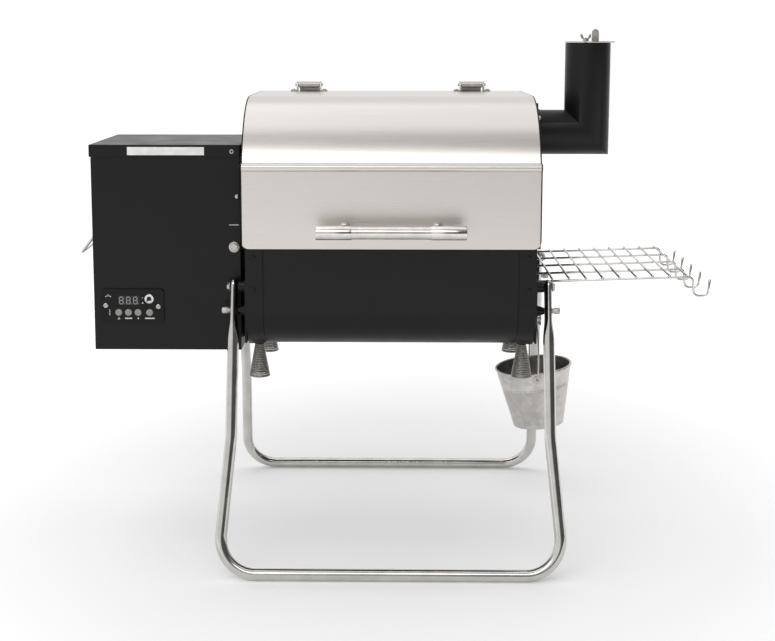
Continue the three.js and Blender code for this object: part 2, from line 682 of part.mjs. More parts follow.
/** A pipe that runs out along X, turns up in a 45 degree mitre and goes on along Z. */
function mitredPipe(r, from, top) {
  const far = 400;
  const level = rod('x', [0, 0], r, from - CHIMNEY.x, far, 26);
  const upright = rod('z', [0, 0], r, -far, top - CHIMNEY.z, 26);
  const lap = 0.02; // the halves overlap by a hair, so that no sliver is left in the mitre
  const half = (side) => {
    const slab = new THREE.BoxGeometry(2000, 2000, 1000).translate(0, 0, side * (500 - lap));
    return solid(slab.rotateY(Math.PI / 4));
  };
  const bend = join(level.intersect(half(-1)), upright.intersect(half(1)));
  return bend.translate([CHIMNEY.x, CHIMNEY.y, CHIMNEY.z]);
}

function chimney() {
  const { x, y, z, r, wall, top } = CHIMNEY;
  const root = HALF_BODY + GAP;
  const pinY = y + 27;
  const bore = mitredPipe(r - wall, root - 9, top + 9);
  const strap = block([x - 34, pinY - 5, top - 4], [x + 34, pinY + 5, top - 1.5]).intersect(
    rod('z', [x, y], r - 0.5, top - 9, top, 32),
  );
  const stub = rod('z', [x, pinY], 2.4, top - 4, top + 8, 10);
  piece('chimney_pipe', join(cut(mitredPipe(r, root, top), bore), strap, stub), blackPaint);
  const flange = alongX(roundedRectangle(92, 90, 8, y, z), root, root + SHEET);
  piece('chimney_flange', cut(flange, rod('x', [y, z], r + GAP, root - 5, root + 5, 32)), blackPaint);

  const disc = rod('z', [x, y], r + 1.2, top + GAP, top + GAP + 1.6, 32);
  const beak = block([x + 20, y - 9, top + GAP], [x + r + 6, y + 9, top + GAP + 1.6]);
  const tab = alongY([
    [x + 6, top + 1],
    [x + 18, top + 1],
    ...arc(x + 12, top + 17, 6, 0, 180, 8),
  ], y - 2, y - 0.4);
  const cap = cut(join(disc, beak, tab), rod('z', [x, pinY], 2.8, top - 1, top + 9, 12));
  piece('damper_cap', cap, zinc);
  const hub = rod('z', [x, pinY], 5, top + 2.5, top + 7, 12);
  const wings = [-1, 1].map((side) => alongY([
    [x + side * 3, top + 4],
    [x + side * 9, top + 9],
    [x + side * 9, top + 15],
    [x + side * 6, top + 14],
    [x + side * 3, top + 7],
  ], pinY - 1.2, pinY + 1.2));
  const nut = cut(join(hub, ...wings), rod('z', [x, pinY], 2.8, top, top + 8.6, 12));
  piece('damper_wing_nut', nut, zinc);
}

// ---- Legs ---------------------------------------------------------------------------------

const LEG_SLOPE = Math.atan2(FOOT_Y - PIVOT.y, PIVOT.z - TUBE_R);
const LEG_LENGTH = Math.hypot(FOOT_Y - PIVOT.y, PIVOT.z - TUBE_R);

/** A point of a leg's plane: x across, s down the leg from its pivot. */
function legPoint(end, x, s) {
  return new THREE.Vector3(
    x,
    end * (PIVOT.y + s * Math.sin(LEG_SLOPE)),
    PIVOT.z - s * Math.cos(LEG_SLOPE),
  );
}

/** Stations down one side of a leg: place, direction and how flat the tube is there. */
function legSide({ top, bottom, kink }) {
  const flare = new THREE.Vector2(bottom - top, LEG_LENGTH - kink).normalize();
  const turn = Math.PI / 2 + Math.atan2(flare.x, flare.y);
  const reach = LEG_CORNER * Math.tan(turn / 2);
  const start = new THREE.Vector2(bottom, LEG_LENGTH).addScaledVector(flare, -reach);
  const down = new THREE.Vector2(0, 1);
  const stations = [
    { x: top, s: -12, dir: down, flat: 1, size: 0.5 },
    { x: top, s: -8, dir: down, flat: 1, size: 0.85 },
    { x: top, s: -2, dir: down, flat: 1, size: 1 },
    { x: top, s: FLAT.from, dir: down, flat: 1, size: 1 },
    { x: top, s: FLAT.to, dir: down, flat: 0, size: 1 },
    { x: top, s: kink - 8, dir: down, flat: 0, size: 1 },
    { x: top + flare.x * 8, s: kink + 8, dir: flare, flat: 0, size: 1 },
  ];
  const centre = new THREE.Vector2(start.x - LEG_CORNER * flare.y, start.y + LEG_CORNER * flare.x);
  const steps = 6;
  for (let i = 0; i <= steps; i += 1) {
    const a = (turn * i) / steps;
    const dir = flare.clone().rotateAround(new THREE.Vector2(), a);
    const out = new THREE.Vector2(dir.y, -dir.x);
    const at = centre.clone().addScaledVector(out, LEG_CORNER);
    stations.push({ x: at.x, s: at.y, dir, flat: 0, size: 1 });
  }
  return stations;
}

/** The ring of points round one station. One facet of the tube faces the ground at the foot. */
function legRing(end, mirror, { x, s, dir, flat, size }) {
  const full = TUBE_R / Math.cos(Math.PI / TUBE_SIDES);
  const across = THREE.MathUtils.lerp(full, FLAT.across, flat) * size;
  const along = THREE.MathUtils.lerp(full, FLAT.along, flat) * size;
  const u = new THREE.Vector3(0, end * Math.sin(LEG_SLOPE), -Math.cos(LEG_SLOPE));
  const n = new THREE.Vector3(0, end * Math.cos(LEG_SLOPE), Math.sin(LEG_SLOPE));
  const inPlane = new THREE.Vector3(mirror * dir.y, 0, 0).addScaledVector(u, -dir.x);
  const middle = legPoint(end, mirror * x, s);
  const lean = Math.PI / TUBE_SIDES - LEG_SLOPE;
  return Array.from({ length: TUBE_SIDES }, (_, j) => {
    const a = (j / TUBE_SIDES) * 2 * Math.PI + lean;
    return middle.clone()
      .addScaledVector(inPlane, across * Math.cos(a))
      .addScaledVector(n, along * Math.sin(a));
  });
}

function uLeg(end, size) {
  const side = legSide(size);
  const left = side.map((station) => legRing(end, -1, station));
  const right = side.map((station) => legRing(end, 1, station)).reverse();
  const frame = loft([...left, ...right]);
  const holes = [-1, 1].flatMap((mirror) => [0, LOCK_DROP].map((s) => {
    const { x, y, z } = legPoint(end, mirror * size.top, s);
    return rod('x', [y, z], s === 0 ? 4.5 : LOCK_R + 0.4, x - 20, x + 20, 12);
  }));
  return cut(frame, ...holes);
}

/** A bracket on an end cap: a plate, a boss with the pivot stud and a cone at the lock pin. */
function legBracket(end, side, top) {
  const { y, z } = legPoint(end, 0, 0);
  const lock = legPoint(end, 0, LOCK_DROP);
  const face = HALF_BODY + GAP;
  const inner = top - FLAT.across - 0.5;
  const span = (a, b) => [Math.min(side * a, side * b), Math.max(side * a, side * b)];
  const [p0, p1] = span(face, face + 3);
  const [b0, b1] = span(face + 1, inner);
  const [s0, s1] = span(face + 1, top + FLAT.across + 3);
  const [c0, c1] = span(face + 1, inner);
  const plate = alongX(roundedRectangle(40, 106, 6, y + end * 4, z - 38), p0, p1);
  const radii = side > 0 ? [10, 5.5] : [5.5, 10];
  return join(
    plate,
    rod('x', [y, z], 9, b0, b1, 20),
    rod('x', [y, z], 4, s0, s1, 12),
    rod('x', [lock.y, lock.z], radii[0], c0, c1, 16, radii[1]),
  );
}

/** A pull pin in the leg, with a knurled knob outside. */
function lockPin(end, side, top) {
  const { y, z } = legPoint(end, 0, LOCK_DROP);
  const span = (a, b) => [Math.min(side * a, side * b), Math.max(side * a, side * b)];
  const outer = top + FLAT.across;
  return join(
    rod('x', [y, z], LOCK_R, ...span(top - FLAT.across + 0.5, outer + 4), 12),
    rod('x', [y, z], 4.2, ...span(outer + 0.6, outer + 3), 12),
    rod('x', [y, z], 5.4, ...span(outer + 2.5, outer + 12), 12),
  );
}

function legs() {
  [['front', -1, FRONT_LEG], ['rear', 1, REAR_LEG]].forEach(([name, end, size]) => {
    piece(`${name}_leg`, uLeg(end, size), chrome);
    [['left', -1], ['right', 1]].forEach(([hand, side]) => {
      piece(`leg_bracket_${name}_${hand}`, legBracket(end, side, size.top), blackPaint);
      piece(`lock_pin_${name}_${hand}`, lockPin(end, side, size.top), zinc);
    });
  });
}

/** A cone of close coils under the barrel, open below: a foot for use with the legs folded up. */
function footSpring(x, y) {
  const top = BELLY_Z - GAP;
  const { bottom, r0, r1 } = FOOT_SPRING;
  const body = cut(
    rod('z', [0, 0], r0, bottom, top, 20, r1),
    rod('z', [0, 0], r0 - 3, bottom - 1, top - 6, 20, r1 - 3),
  );
  return body.translate([x, y, 0]);
}

function feet() {
  [['left', -1], ['right', 1]].forEach(([hand, side]) => {
    piece(`spring_foot_front_${hand}`, footSpring(side * FOOT_SPRING.x, FOOT_SPRING.y[0]), zinc);
    piece(`spring_foot_rear_${hand}`, footSpring(side * FOOT_SPRING.x, FOOT_SPRING.y[1]), zinc);
  });
}

// ---- Side shelf ---------------------------------------------------------------------------

function shelf() {
  const { x0, end, y0, y1, z, wire: r, pitch, first } = SHELF;
  const rows = 5;
  const long = Array.from({ length: rows }, (_, i) => {
    const y = y0 + ((y1 - y0) * i) / (rows - 1);
    const at = (x, dz) => new THREE.Vector3(x, y - y0, dz);
    const { drop, toe, width, flare, tip, bend } = HOOK;
    return wire([
      at(x0, 0),
      at(end, 0),
      at(end + toe, -drop),
      at(end + toe + width, -drop),
      at(end + toe + width + flare, -drop + tip),
    ], r, bend, 5);
  });
  const cross = [];
  for (let x = first; x < end; x += pitch) {
    cross.push(rod('y', [x, 2 * r - 0.6], r, -2, y1 - y0 + 2, 4));
  }
  const clip = block([x0 + 2, -1, -2.6], [first + 1, 11, -0.4]);
  const mesh = piece('side_shelf', join(...long, ...cross, clip), chrome);
  mesh.position.set(x0, y0, z);
  mesh.geometry.translate(-x0, 0, 0);
  mesh.rotation.set(SHELF_LEAN, -SHELF_RISE, 0, 'YXZ');

  const face = HALF_BODY + GAP;
  const rail = join(
    block([face, y0 + 8, z - 15], [face + SHEET, y1 - 8, z - 4]),
    block([face, y0 + 8, z - 15], [face + 14, y1 - 8, z - 13]),
  );
  piece('shelf_bracket', rail, zinc);
}

// ---- Grease bucket ------------------------------------------------------------------------

function bucket() {
  const { x, y, z, top, bottom, height, wall } = BUCKET;
  const rim = 2.2;
  const profile = [
    [0, -height + 2],
    [bottom - 1, -height + 2],
    [bottom - 1, -height],
    [bottom + 0.6, -height],
    [top, -2],
    [top + rim, -1.5],
    [top + rim, 1],
    [top + 0.8, 2],
    [top - 0.8, 1],
    [top - wall, -2],
    [bottom - wall, -height + 3.4],
    [0, -height + 3.4],
  ];
  const tilted = new THREE.Group();
  tilted.position.set(x, y, z);
  tilted.rotation.y = BUCKET_TILT;
  grill.add(tilted);

  const earZ = -EAR_DROP;
  const lean = (top - bottom) / height;
  const face = top - lean * EAR_DROP;
  const ears = [-1, 1].map((side) => {
    const [near, far] = [side * (face - 2), side * (face + 3)].sort((a, b) => a - b);
    return rod('y', [0, earZ], 7, near, far, 14);
  });
  const holes = rod('y', [0, earZ], 2.2, -top - 9, top + 9, 12);
  piece('grease_bucket', cut(join(turned(profile, 26), ...ears), holes), zinc, tilted);

  const hole = new THREE.Vector3(0, 0, earZ).applyEuler(tilted.rotation).add(tilted.position);
  const radius = face + 7;
  const springing = SPOUT.z + SPOUT.r + 1.5 + GAP - radius;
  const arch = Array.from({ length: 13 }, (_, i) => {
    const a = (i / 12) * Math.PI;
    return new THREE.Vector3(hole.x, y - radius * Math.cos(a), springing + radius * Math.sin(a));
  });
  const path = [
    new THREE.Vector3(hole.x, y - face + 4, hole.z),
    new THREE.Vector3(hole.x, y - radius, hole.z),
    ...arch,
    new THREE.Vector3(hole.x, y + radius, hole.z),
    new THREE.Vector3(hole.x, y + face - 4, hole.z),
  ];
  piece('bucket_bail', wire(path, 1.5, 1.8, 8), zinc);

  const inner = HALF_BODY - 30;
  const spout = cut(
    join(
      rod('x', [y, SPOUT.z], SPOUT.r, inner, SPOUT.x1, 20),
      rod('x', [y, SPOUT.z], SPOUT.r + 2.5, SPOUT.x1 - 3, SPOUT.x1, 20),
      rod('x', [y, SPOUT.z], SPOUT.r + 4, HALF_BODY + GAP, HALF_BODY + GAP + 2, 20),
    ),
    rod('x', [y, SPOUT.z], SPOUT.r - 1.5, inner - 1, SPOUT.x1 + 1, 20),
  );
  piece('drain_spout', spout, zinc);
}

barrel();
insides();
lid();
hopper();
chimney();
legs();
feet();
shelf();
bucket();

export default grill;
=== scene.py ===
"""Looks of a portable pellet smoker grill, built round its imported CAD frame.

The frame's axes are +X to the chimney end, +Y to the hinged back and +Z up. The classes below hold
their sizes in millimetres, and mesh_piece() turns them into metres.
"""

import json
import logging
import math
from dataclasses import dataclass
from enum import Enum
from typing import Callable, Iterable, Sequence

import bmesh
import bpy
from mathutils import Matrix, Vector

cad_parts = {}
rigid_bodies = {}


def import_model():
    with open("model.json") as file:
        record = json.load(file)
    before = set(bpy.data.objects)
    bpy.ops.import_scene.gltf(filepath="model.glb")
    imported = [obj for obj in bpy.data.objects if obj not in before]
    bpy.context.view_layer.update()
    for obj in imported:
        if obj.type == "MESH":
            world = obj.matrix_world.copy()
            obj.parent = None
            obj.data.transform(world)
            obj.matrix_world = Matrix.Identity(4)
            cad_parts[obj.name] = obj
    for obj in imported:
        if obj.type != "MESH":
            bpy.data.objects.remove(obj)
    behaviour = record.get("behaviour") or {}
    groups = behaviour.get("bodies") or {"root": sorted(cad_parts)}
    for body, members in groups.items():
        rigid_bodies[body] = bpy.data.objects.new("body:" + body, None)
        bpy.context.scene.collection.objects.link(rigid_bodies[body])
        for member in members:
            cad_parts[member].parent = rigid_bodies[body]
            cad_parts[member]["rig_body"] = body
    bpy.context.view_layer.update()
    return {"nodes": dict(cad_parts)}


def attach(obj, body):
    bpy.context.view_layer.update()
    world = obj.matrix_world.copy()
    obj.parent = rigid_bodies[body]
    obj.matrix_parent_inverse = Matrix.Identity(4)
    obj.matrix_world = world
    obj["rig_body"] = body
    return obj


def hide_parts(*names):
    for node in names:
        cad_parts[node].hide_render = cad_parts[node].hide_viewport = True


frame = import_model()

LOG = logging.getLogger("grill")
MM = 0.001
X, Y, Z = Vector((1, 0, 0)), Vector((0, 1, 0)), Vector((0, 0, 1))
ENDS = ((-1, "left"), (1, "right"))
Point = Sequence[float]
Ring = list[Vector]
Colour = tuple[float, float, float, float]


# ---- Finishes -------------------------------------------------------------------------------


def linear(code: str) -> Colour:
    """Turns an sRGB hex colour into linear RGBA.

    Args:
        code: The colour, such as "#1c1a1b".

    Returns:
        The linear colour, with alpha 1.
    """
    shares = [int(code[i:i + 2], 16) / 255 for i in (1, 3, 5)]
    return (*(c / 12.92 if c <= 0.04045 else ((c + 0.055) / 1.055) ** 2.4 for c in shares), 1.0)


def add(tree: bpy.types.NodeTree, kind: str, inputs: dict | None = None, **settings) -> bpy.types.Node:
    """Adds one shader node with its settings and links.

    Args:
        tree: The node tree.
        kind: The node's type without its "ShaderNode" prefix.
        inputs: What goes into each input, by name or number: another node's output, or a value.
        **settings: The node's own settings.

    Returns:
        The new node.
    """
    made = tree.nodes.new("ShaderNode" + kind)
    for name, value in settings.items():
        setattr(made, name, value)
    for name, value in (inputs or {}).items():
        if isinstance(value, bpy.types.NodeSocket):
            tree.links.new(value, made.inputs[name])
        else:
            made.inputs[name].default_value = value
    return made


@dataclass(frozen=True)
class Finish:
    """A finish: its name, the record's slot and the shader's steady values.

    The pattern is a soft mottle of patches `patch` mm wide, with a finer relief `relief` mm deep.
    """

    name: str
    slot: str | None
    colour: str
    roughness: float = 0.5
    metallic: float = 0.0
    specular: float = 0.5
    patch: float = 9.0
    spread: float = 0.06
    relief: float = 0.01
    grain: float = 1.5

    def material(self) -> bpy.types.Material:
        """Returns this finish's material, made at its first use."""
        found = bpy.data.materials.get(self.name)
        if found:
            return found
        made = bpy.data.materials.new(self.name)
        made.use_nodes = True
        tree = made.node_tree
        shader = tree.nodes["Principled BSDF"]
        shader.inputs["Base Color"].default_value = linear(self.colour)
        shader.inputs["Roughness"].default_value = self.roughness
        shader.inputs["Metallic"].default_value = self.metallic
        if not self.metallic:
            shader.inputs["Specular IOR Level"].default_value = self.specular
        place = add(tree, "TexCoord").outputs["Object"]
        self.dress(tree, shader, place)
        return made

    def dress(self, tree: bpy.types.NodeTree, shader: bpy.types.Node,
              place: bpy.types.NodeSocket) -> None:
        """Adds the finish's pattern.

        Args:
            tree: The material's node tree.
            shader: Its principled shader.
            place: The surface point in metres, in the piece's own frame.
        """
        patches = add(tree, "TexNoise", {"Vector": place, "Scale": 1 / (self.patch * MM), "Detail": 4.0})
        self.vary(tree, shader, patches.outputs["Fac"])
        grit = add(tree, "TexNoise", {"Vector": place, "Scale": 1 / (self.grain * MM), "Detail": 2.0})
        self.bump(tree, shader, grit.outputs["Fac"])

    def vary(self, tree: bpy.types.NodeTree, shader: bpy.types.Node, share: bpy.types.NodeSocket,
             low: float = 0.3, high: float = 0.7, tints: tuple[float, float] = (0.9, 1.08)) -> None:
        """Varies the roughness and the colour's brightness with a pattern.

        Args:
            tree: The material's node tree.
            shader: Its principled shader.
            share: The pattern.
            low: The pattern's value at the smoothest, darkest places.
            high: Its value at the roughest, lightest places.
            tints: The colour's brightness at low and at high.
        """
        rough = add(tree, "MapRange", {
            "Value": share, "From Min": low, "From Max": high,
            "To Min": max(self.roughness - self.spread, 0.03), "To Max": self.roughness + self.spread,
        })
        tree.links.new(rough.outputs["Result"], shader.inputs["Roughness"])
        tone = add(tree, "MapRange", {"Value": share, "From Min": low, "From Max": high})
        shades = [tuple(min(c * k, 1.0) for c in linear(self.colour)[:3]) + (1.0,) for k in tints]
        tint = add(tree, "Mix", {0: tone.outputs["Result"], 6: shades[0], 7: shades[1]}, data_type="RGBA")
        tree.links.new(tint.outputs[2], shader.inputs["Base Color"])

    def bump(self, tree: bpy.types.NodeTree, shader: bpy.types.Node, height: bpy.types.NodeSocket) -> None:
        """Adds the finish's relief to the shader's normal."""
        relief = add(tree, "Bump", {"Height": height, "Distance": self.relief * MM, "Strength": 1.0})
        tree.links.new(relief.outputs["Normal"], shader.inputs["Normal"])


@dataclass(frozen=True)
class Brushed(Finish):
    """Metal rubbed along X: streaks `streak` mm long and `width` mm wide."""

    streak: float = 90.0
    width: float = 0.8

    def dress(self, tree: bpy.types.NodeTree, shader: bpy.types.Node,
              place: bpy.types.NodeSocket) -> None:
        """Adds the streaks, which real brushing leaves about 0.1 mm wide; these are drawn coarser.

        Args:
            tree: The material's node tree.
            shader: Its principled shader.
            place: The surface point in metres.
        """
        across = 1 / (self.width * MM)
        long = add(tree, "Mapping", {"Vector": place, "Scale": (1 / (self.streak * MM), across, across)})
        streaks = add(tree, "TexNoise", {"Vector": long.outputs["Vector"], "Scale": 1.0, "Detail": 3.0})
        self.vary(tree, shader, streaks.outputs["Fac"], tints=(0.97, 1.02))
        self.bump(tree, shader, streaks.outputs["Fac"])


@dataclass(frozen=True)
class Galvanised(Finish):
    """Hot-dip zinc: crystal patches `patch` mm wide, each with its own brightness."""

    def dress(self, tree: bpy.types.NodeTree, shader: bpy.types.Node,
              place: bpy.types.NodeSocket) -> None:
        """Adds the spangle.

        Args:
            tree: The material's node tree.
            shader: Its principled shader.
            place: The surface point in metres.
        """
        warp = add(tree, "TexNoise", {"Vector": place, "Scale": 1 / (self.patch * 0.4 * MM), "Detail": 2.0})
        bent = add(tree, "VectorMath", {0: warp.outputs["Color"], 1: (0.002,) * 3}, operation="MULTIPLY")
        moved = add(tree, "VectorMath", {0: place, 1: bent.outputs["Vector"]}, operation="ADD")
        cells = add(tree, "TexVoronoi", {"Vector": moved.outputs["Vector"], "Scale": 1 / (self.patch * MM)})
        share = add(tree, "SeparateColor", {"Color": cells.outputs["Color"]})
        self.vary(tree, shader, share.outputs["Red"], 0.0, 1.0, (0.86, 1.06))
        self.bump(tree, shader, cells.outputs["Distance"])


@dataclass(frozen=True)
class Lit(Finish):
    """A lit display segment, which gives `glow` of its own colour."""

    glow: float = 0.5

    def dress(self, tree: bpy.types.NodeTree, shader: bpy.types.Node,
              place: bpy.types.NodeSocket) -> None:
        """Lights the segment, over a faint mottle.

        Args:
            tree: The material's node tree.
            shader: Its principled shader.
            place: The surface point in metres.
        """
        super().dress(tree, shader, place)
        shader.inputs["Emission Color"].default_value = linear(self.colour)
        shader.inputs["Emission Strength"].default_value = self.glow


# A deep satin black with a fine orange-peel skin, which only lights up at grazing angles. The real
# peel is about 0.6 mm wide and is drawn coarser here.
POWDER_COAT = Finish("Black polyester powder coat, baked", "black_powder_coat", "#0c090a", 0.38,
                     specular=0.24, patch=60, spread=0.05, relief=0.02, grain=1.4)
# Warm silver with horizontal streaks; broad soft reflections that smear across the streaks.
STAINLESS = Brushed("Stainless steel, brushed", "brushed_stainless", "#cdc8c4", 0.3, 1.0,
                    spread=0.03, relief=0.002)
# Smoother than the sheet: turned and polished, so it keeps sharp highlights along its length.
POLISHED = Finish("Stainless steel, turned and polished", "brushed_stainless", "#d3cfca", 0.2, 1.0,
                  patch=14, spread=0.04, relief=0.002)
# Near-mirror tube with dark and bright lines along it, slightly hazed.
CHROME = Finish("Steel tube, bright chrome plated", "chrome_plate", "#c9c7c4", 0.13, 1.0,
                patch=25, spread=0.04, relief=0.002, grain=3)
# Greyer than chrome, faintly mottled.
ZINC = Finish("Steel, bright zinc plated", "zinc_plate", "#b6b3af", 0.33, 1.0, patch=6, relief=0.004)
# Bright coils with darker gaps.
SPRING = Finish("Spring steel wire, coiled", "spring_steel", "#96938f", 0.3, 1.0, patch=4, relief=0.003)
# Pale zinc with a frost of crystal patches.
GALVANISED = Galvanised("Galvanised sheet, hot dipped", "galvanised_sheet", "#c9c6c3", 0.36, 1.0,
                        patch=8, spread=0.06, relief=0.004)
# Dull grey-brown steel of the pieces inside.
BARE_STEEL = Finish("Mild steel, rolled and left bare", "bare_steel", "#77726c", 0.52, 0.9, patch=12,
                    spread=0.12, relief=0.02)
# Glossy black moulding that mirrors the room.
GLOSS_PLASTIC = Finish("ABS plastic, gloss moulded", "gloss_black_plastic", "#060606", 0.3, specular=0.2,
                       patch=20, spread=0.04, relief=0.002)
# Softer black moulding with a fine spark-eroded grain.
PLASTIC = Finish("Nylon plastic, moulded", "black_plastic", "#1d1d1e", 0.5, patch=7, relief=0.015,
                 grain=0.9)
# Mid-grey matt rubber keys.
RUBBER = Finish("Silicone rubber, moulded", "button_rubber", "#8b8d88", 0.66, patch=5, relief=0.01)
# Nearly black, glassy window.
WINDOW = Finish("Acrylic sheet, smoked", "smoked_window", "#060607", 0.12, patch=25, specular=0.3,
                spread=0.03, relief=0.001)
# Green laminate with a faint weave of tracks.
BOARD = Finish("Glass-fibre laminate, solder masked", "circuit_board", "#1f4f30", 0.45, patch=3,
               spread=0.12, relief=0.03, grain=1.2)
# White matt sticker.
LABEL = Finish("Vinyl film, white", None, "#dfdedc", 0.5, patch=12, relief=0.004)
# Pale grey printed marks.
INK = Finish("Screen ink, pale grey", None, "#c4c4c2", 0.55, patch=2, relief=0.004)
# The display's segments glow a cool pale grey.
SEGMENT = Lit("Light-emitting segments, diffused", None, "#7f8684", 0.4, patch=3, glow=0.08)


# ---- Shapes ---------------------------------------------------------------------------------


def mesh_piece(name: str, shapes: Iterable[tuple[Sequence[Point], Sequence[Sequence[int]]]],
               sharp: float = 38.0) -> bpy.types.Object:
    """Makes one mesh object from closed skins given in millimetres.

    Args:
        name: The object's name.
        shapes: The skins, each as its points and its faces.
        sharp: Edges that turn by more than this many degrees stay sharp.

    Returns:
        The new object, linked to the scene.
    """
    points: list[Vector] = []
    faces: list[list[int]] = []
    for vertices, around in shapes:
        start = len(points)
        points += [Vector(v) * MM for v in vertices]
        faces += [[start + i for i in face] for face in around]
    mesh = bpy.data.meshes.new(name)
    mesh.from_pydata(points, [], faces)
    made = bpy.data.objects.new(name, mesh)
    bpy.context.scene.collection.objects.link(made)
    shape = bmesh.new()
    shape.from_mesh(mesh)
    bmesh.ops.remove_doubles(shape, verts=shape.verts, dist=1e-6)
    bmesh.ops.recalc_face_normals(shape, faces=shape.faces)
    shape.to_mesh(mesh)
    shape.free()
    mesh.shade_smooth()
    mesh.set_sharp_from_angle(angle=math.radians(sharp))
    return made


def loft(rings: Sequence[Ring], closed: bool = False) -> tuple[list[Vector], list[tuple[int, ...]]]:
    """Skins a row of rings of equal length.

    Args:
        rings: The rings, in order.
        closed: Whether the last ring joins the first; otherwise both ends are capped.

    Returns:
        The points and faces of the skin.
    """
    sides, count = len(rings[0]), len(rings)
    faces: list[tuple[int, ...]] = []
    for i in range(count if closed else count - 1):
        a, b = i * sides, (i + 1) % count * sides
        faces += [(a + j, a + (j + 1) % sides, b + (j + 1) % sides, b + j) for j in range(sides)]
    if not closed:
        faces += [tuple(range(sides)), tuple(range((count - 1) * sides, count * sides))]
    return [Vector(p) for ring in rings for p in ring], faces


def circle(centre: Point, u: Vector, v: Vector, radius: float, sides: int) -> Ring:
    """Returns the points of a circle whose plane holds u and v."""
    turns = (2 * math.pi * j / sides for j in range(sides))
    return [Vector(centre) + (u * math.cos(a) + v * math.sin(a)) * radius for a in turns]


def collar(middle: Point, axis: Vector, across: tuple[Vector, Vector], profile: Sequence[Point],
           sides: int) -> tuple[list[Vector], list]:
    """Skins a turned shape with a hole through it.

    Args:
        middle: The point on the axis that heights count from.
        axis: The axis.
        across: Two directions square to the axis and to each other.
        profile: The section's outline, as pairs of radius and height.
        sides: The number of sides.

    Returns:
        The points and faces.
    """
    rows = [circle(Vector(middle) + axis * height, *across, radius, sides) for radius, height in profile]
    return loft([list(ring) for ring in zip(*rows)], closed=True)


def sweep(path: Sequence[Point], radius: float, sides: int = 14) -> tuple[list[Vector], list]:
    """Skins a round wire along a path, with slightly rounded ends.

    Args:
        path: The wire's middle line.
        radius: The wire's radius.
        sides: The number of sides round it.

    Returns:
        The points and faces of the wire.
    """
    line = [Vector(p) for p in path]
    rings: list[Ring] = []
    side = Vector((0, 0, 1))
    last = len(line) - 1
    for i, at in enumerate(line):
        along = (line[min(i + 1, last)] - line[max(i - 1, 0)]).normalized()
        if i == 0 and abs(along.z) > 0.9:
            side = Vector((0, 1, 0))
        side = (side - along * side.dot(along)).normalized()
        other = along.cross(side)
        if i == 0:
            rings.append(circle(at, side, other, radius * 0.7, sides))
            at = at + along * radius * 0.3
        if i == last:
            at = at - along * radius * 0.3
        rings.append(circle(at, side, other, radius, sides))
        if i == last:
            rings.append(circle(line[i], side, other, radius * 0.7, sides))
    return loft(rings)


def filleted(points: Sequence[Point], bend: float, steps: int = 7) -> list[Vector]:
    """Rounds a path's inner corners.

    Args:
        points: The path's corners.
        bend: The bend's radius.
        steps: The steps in each bend.

    Returns:
        The points of the rounded path.
    """
    line = [Vector(p) for p in points]
    path = [line[0]]
    for before, at, after in zip(line, line[1:], line[2:]):
        back, on = (before - at).normalized(), (after - at).normalized()
        reach = bend / math.tan(back.angle(on) / 2)
        enter, leave = at + back * reach, at + on * reach
        for k in range(steps + 1):
            t = k / steps
            path.append(enter * (1 - t) ** 2 + at * 2 * t * (1 - t) + leave * t ** 2)
    return [*path, line[-1]]


def turned(origin: Point, axis: Point, profile: Sequence[Point], sides: int = 40,
           lobe: Callable[[float, int], float] | None = None) -> tuple[list[Vector], list]:
    """Skins a turned shape.

    Args:
        origin: The point on the axis that heights count from.
        axis: The axis.
        profile: Pairs of radius and height, from one end to the other.
        sides: The number of sides.
        lobe: Scales the radius by the turn about the axis and the pair's number.

    Returns:
        The points and faces.
    """
    turn = Vector(axis).to_track_quat("Z", "X").to_matrix()
    rings = []
    for i, (radius, height) in enumerate(profile):
        ring = []
        for j in range(sides):
            a = 2 * math.pi * j / sides
            reach = radius * (lobe(a, i) if lobe else 1.0)
            ring.append(Vector(origin) + turn @ Vector((reach * math.cos(a), reach * math.sin(a), height)))
        rings.append(ring)
    return loft(rings)


def box(low: Point, high: Point, edge: float = 0.3) -> tuple[list[Vector], list]:
    """Skins a block whose upright and top edges along Z are eased.

    Args:
        low: Its lowest corner.
        high: Its highest corner.
        edge: The width of the eased edges.

    Returns:
        The points and faces.
    """
    (x0, y0, z0), (x1, y1, z1) = low, high

    def ring(inset: float, z: float) -> Ring:
        """Returns the block's outline at a height, drawn in by inset."""
        a, b, c, d = x0 + inset, x1 - inset, y0 + inset, y1 - inset
        e = min(edge, (b - a) / 3, (d - c) / 3)
        return [Vector(p) for p in ((a + e, c, z), (b - e, c, z), (b, c + e, z), (b, d - e, z),
                                    (b - e, d, z), (a + e, d, z), (a, d - e, z), (a, c + e, z))]

    rise = min(edge, (z1 - z0) / 3)
    draw = min(edge, (x1 - x0) / 4, (y1 - y0) / 4)
    return loft([ring(draw, z0), ring(0, z0 + rise), ring(0, z1 - rise), ring(draw, z1)])


def arc(cy: float, cz: float, r: float, start: float, end: float, steps: int) -> list[tuple[float, float]]:
    """Returns points of an arc in (y, z) between two angles in degrees."""
    turns = (math.radians(start + (end - start) * i / steps) for i in range(steps + 1))
    return [(cy + r * math.cos(a), cz + r * math.sin(a)) for a in turns]


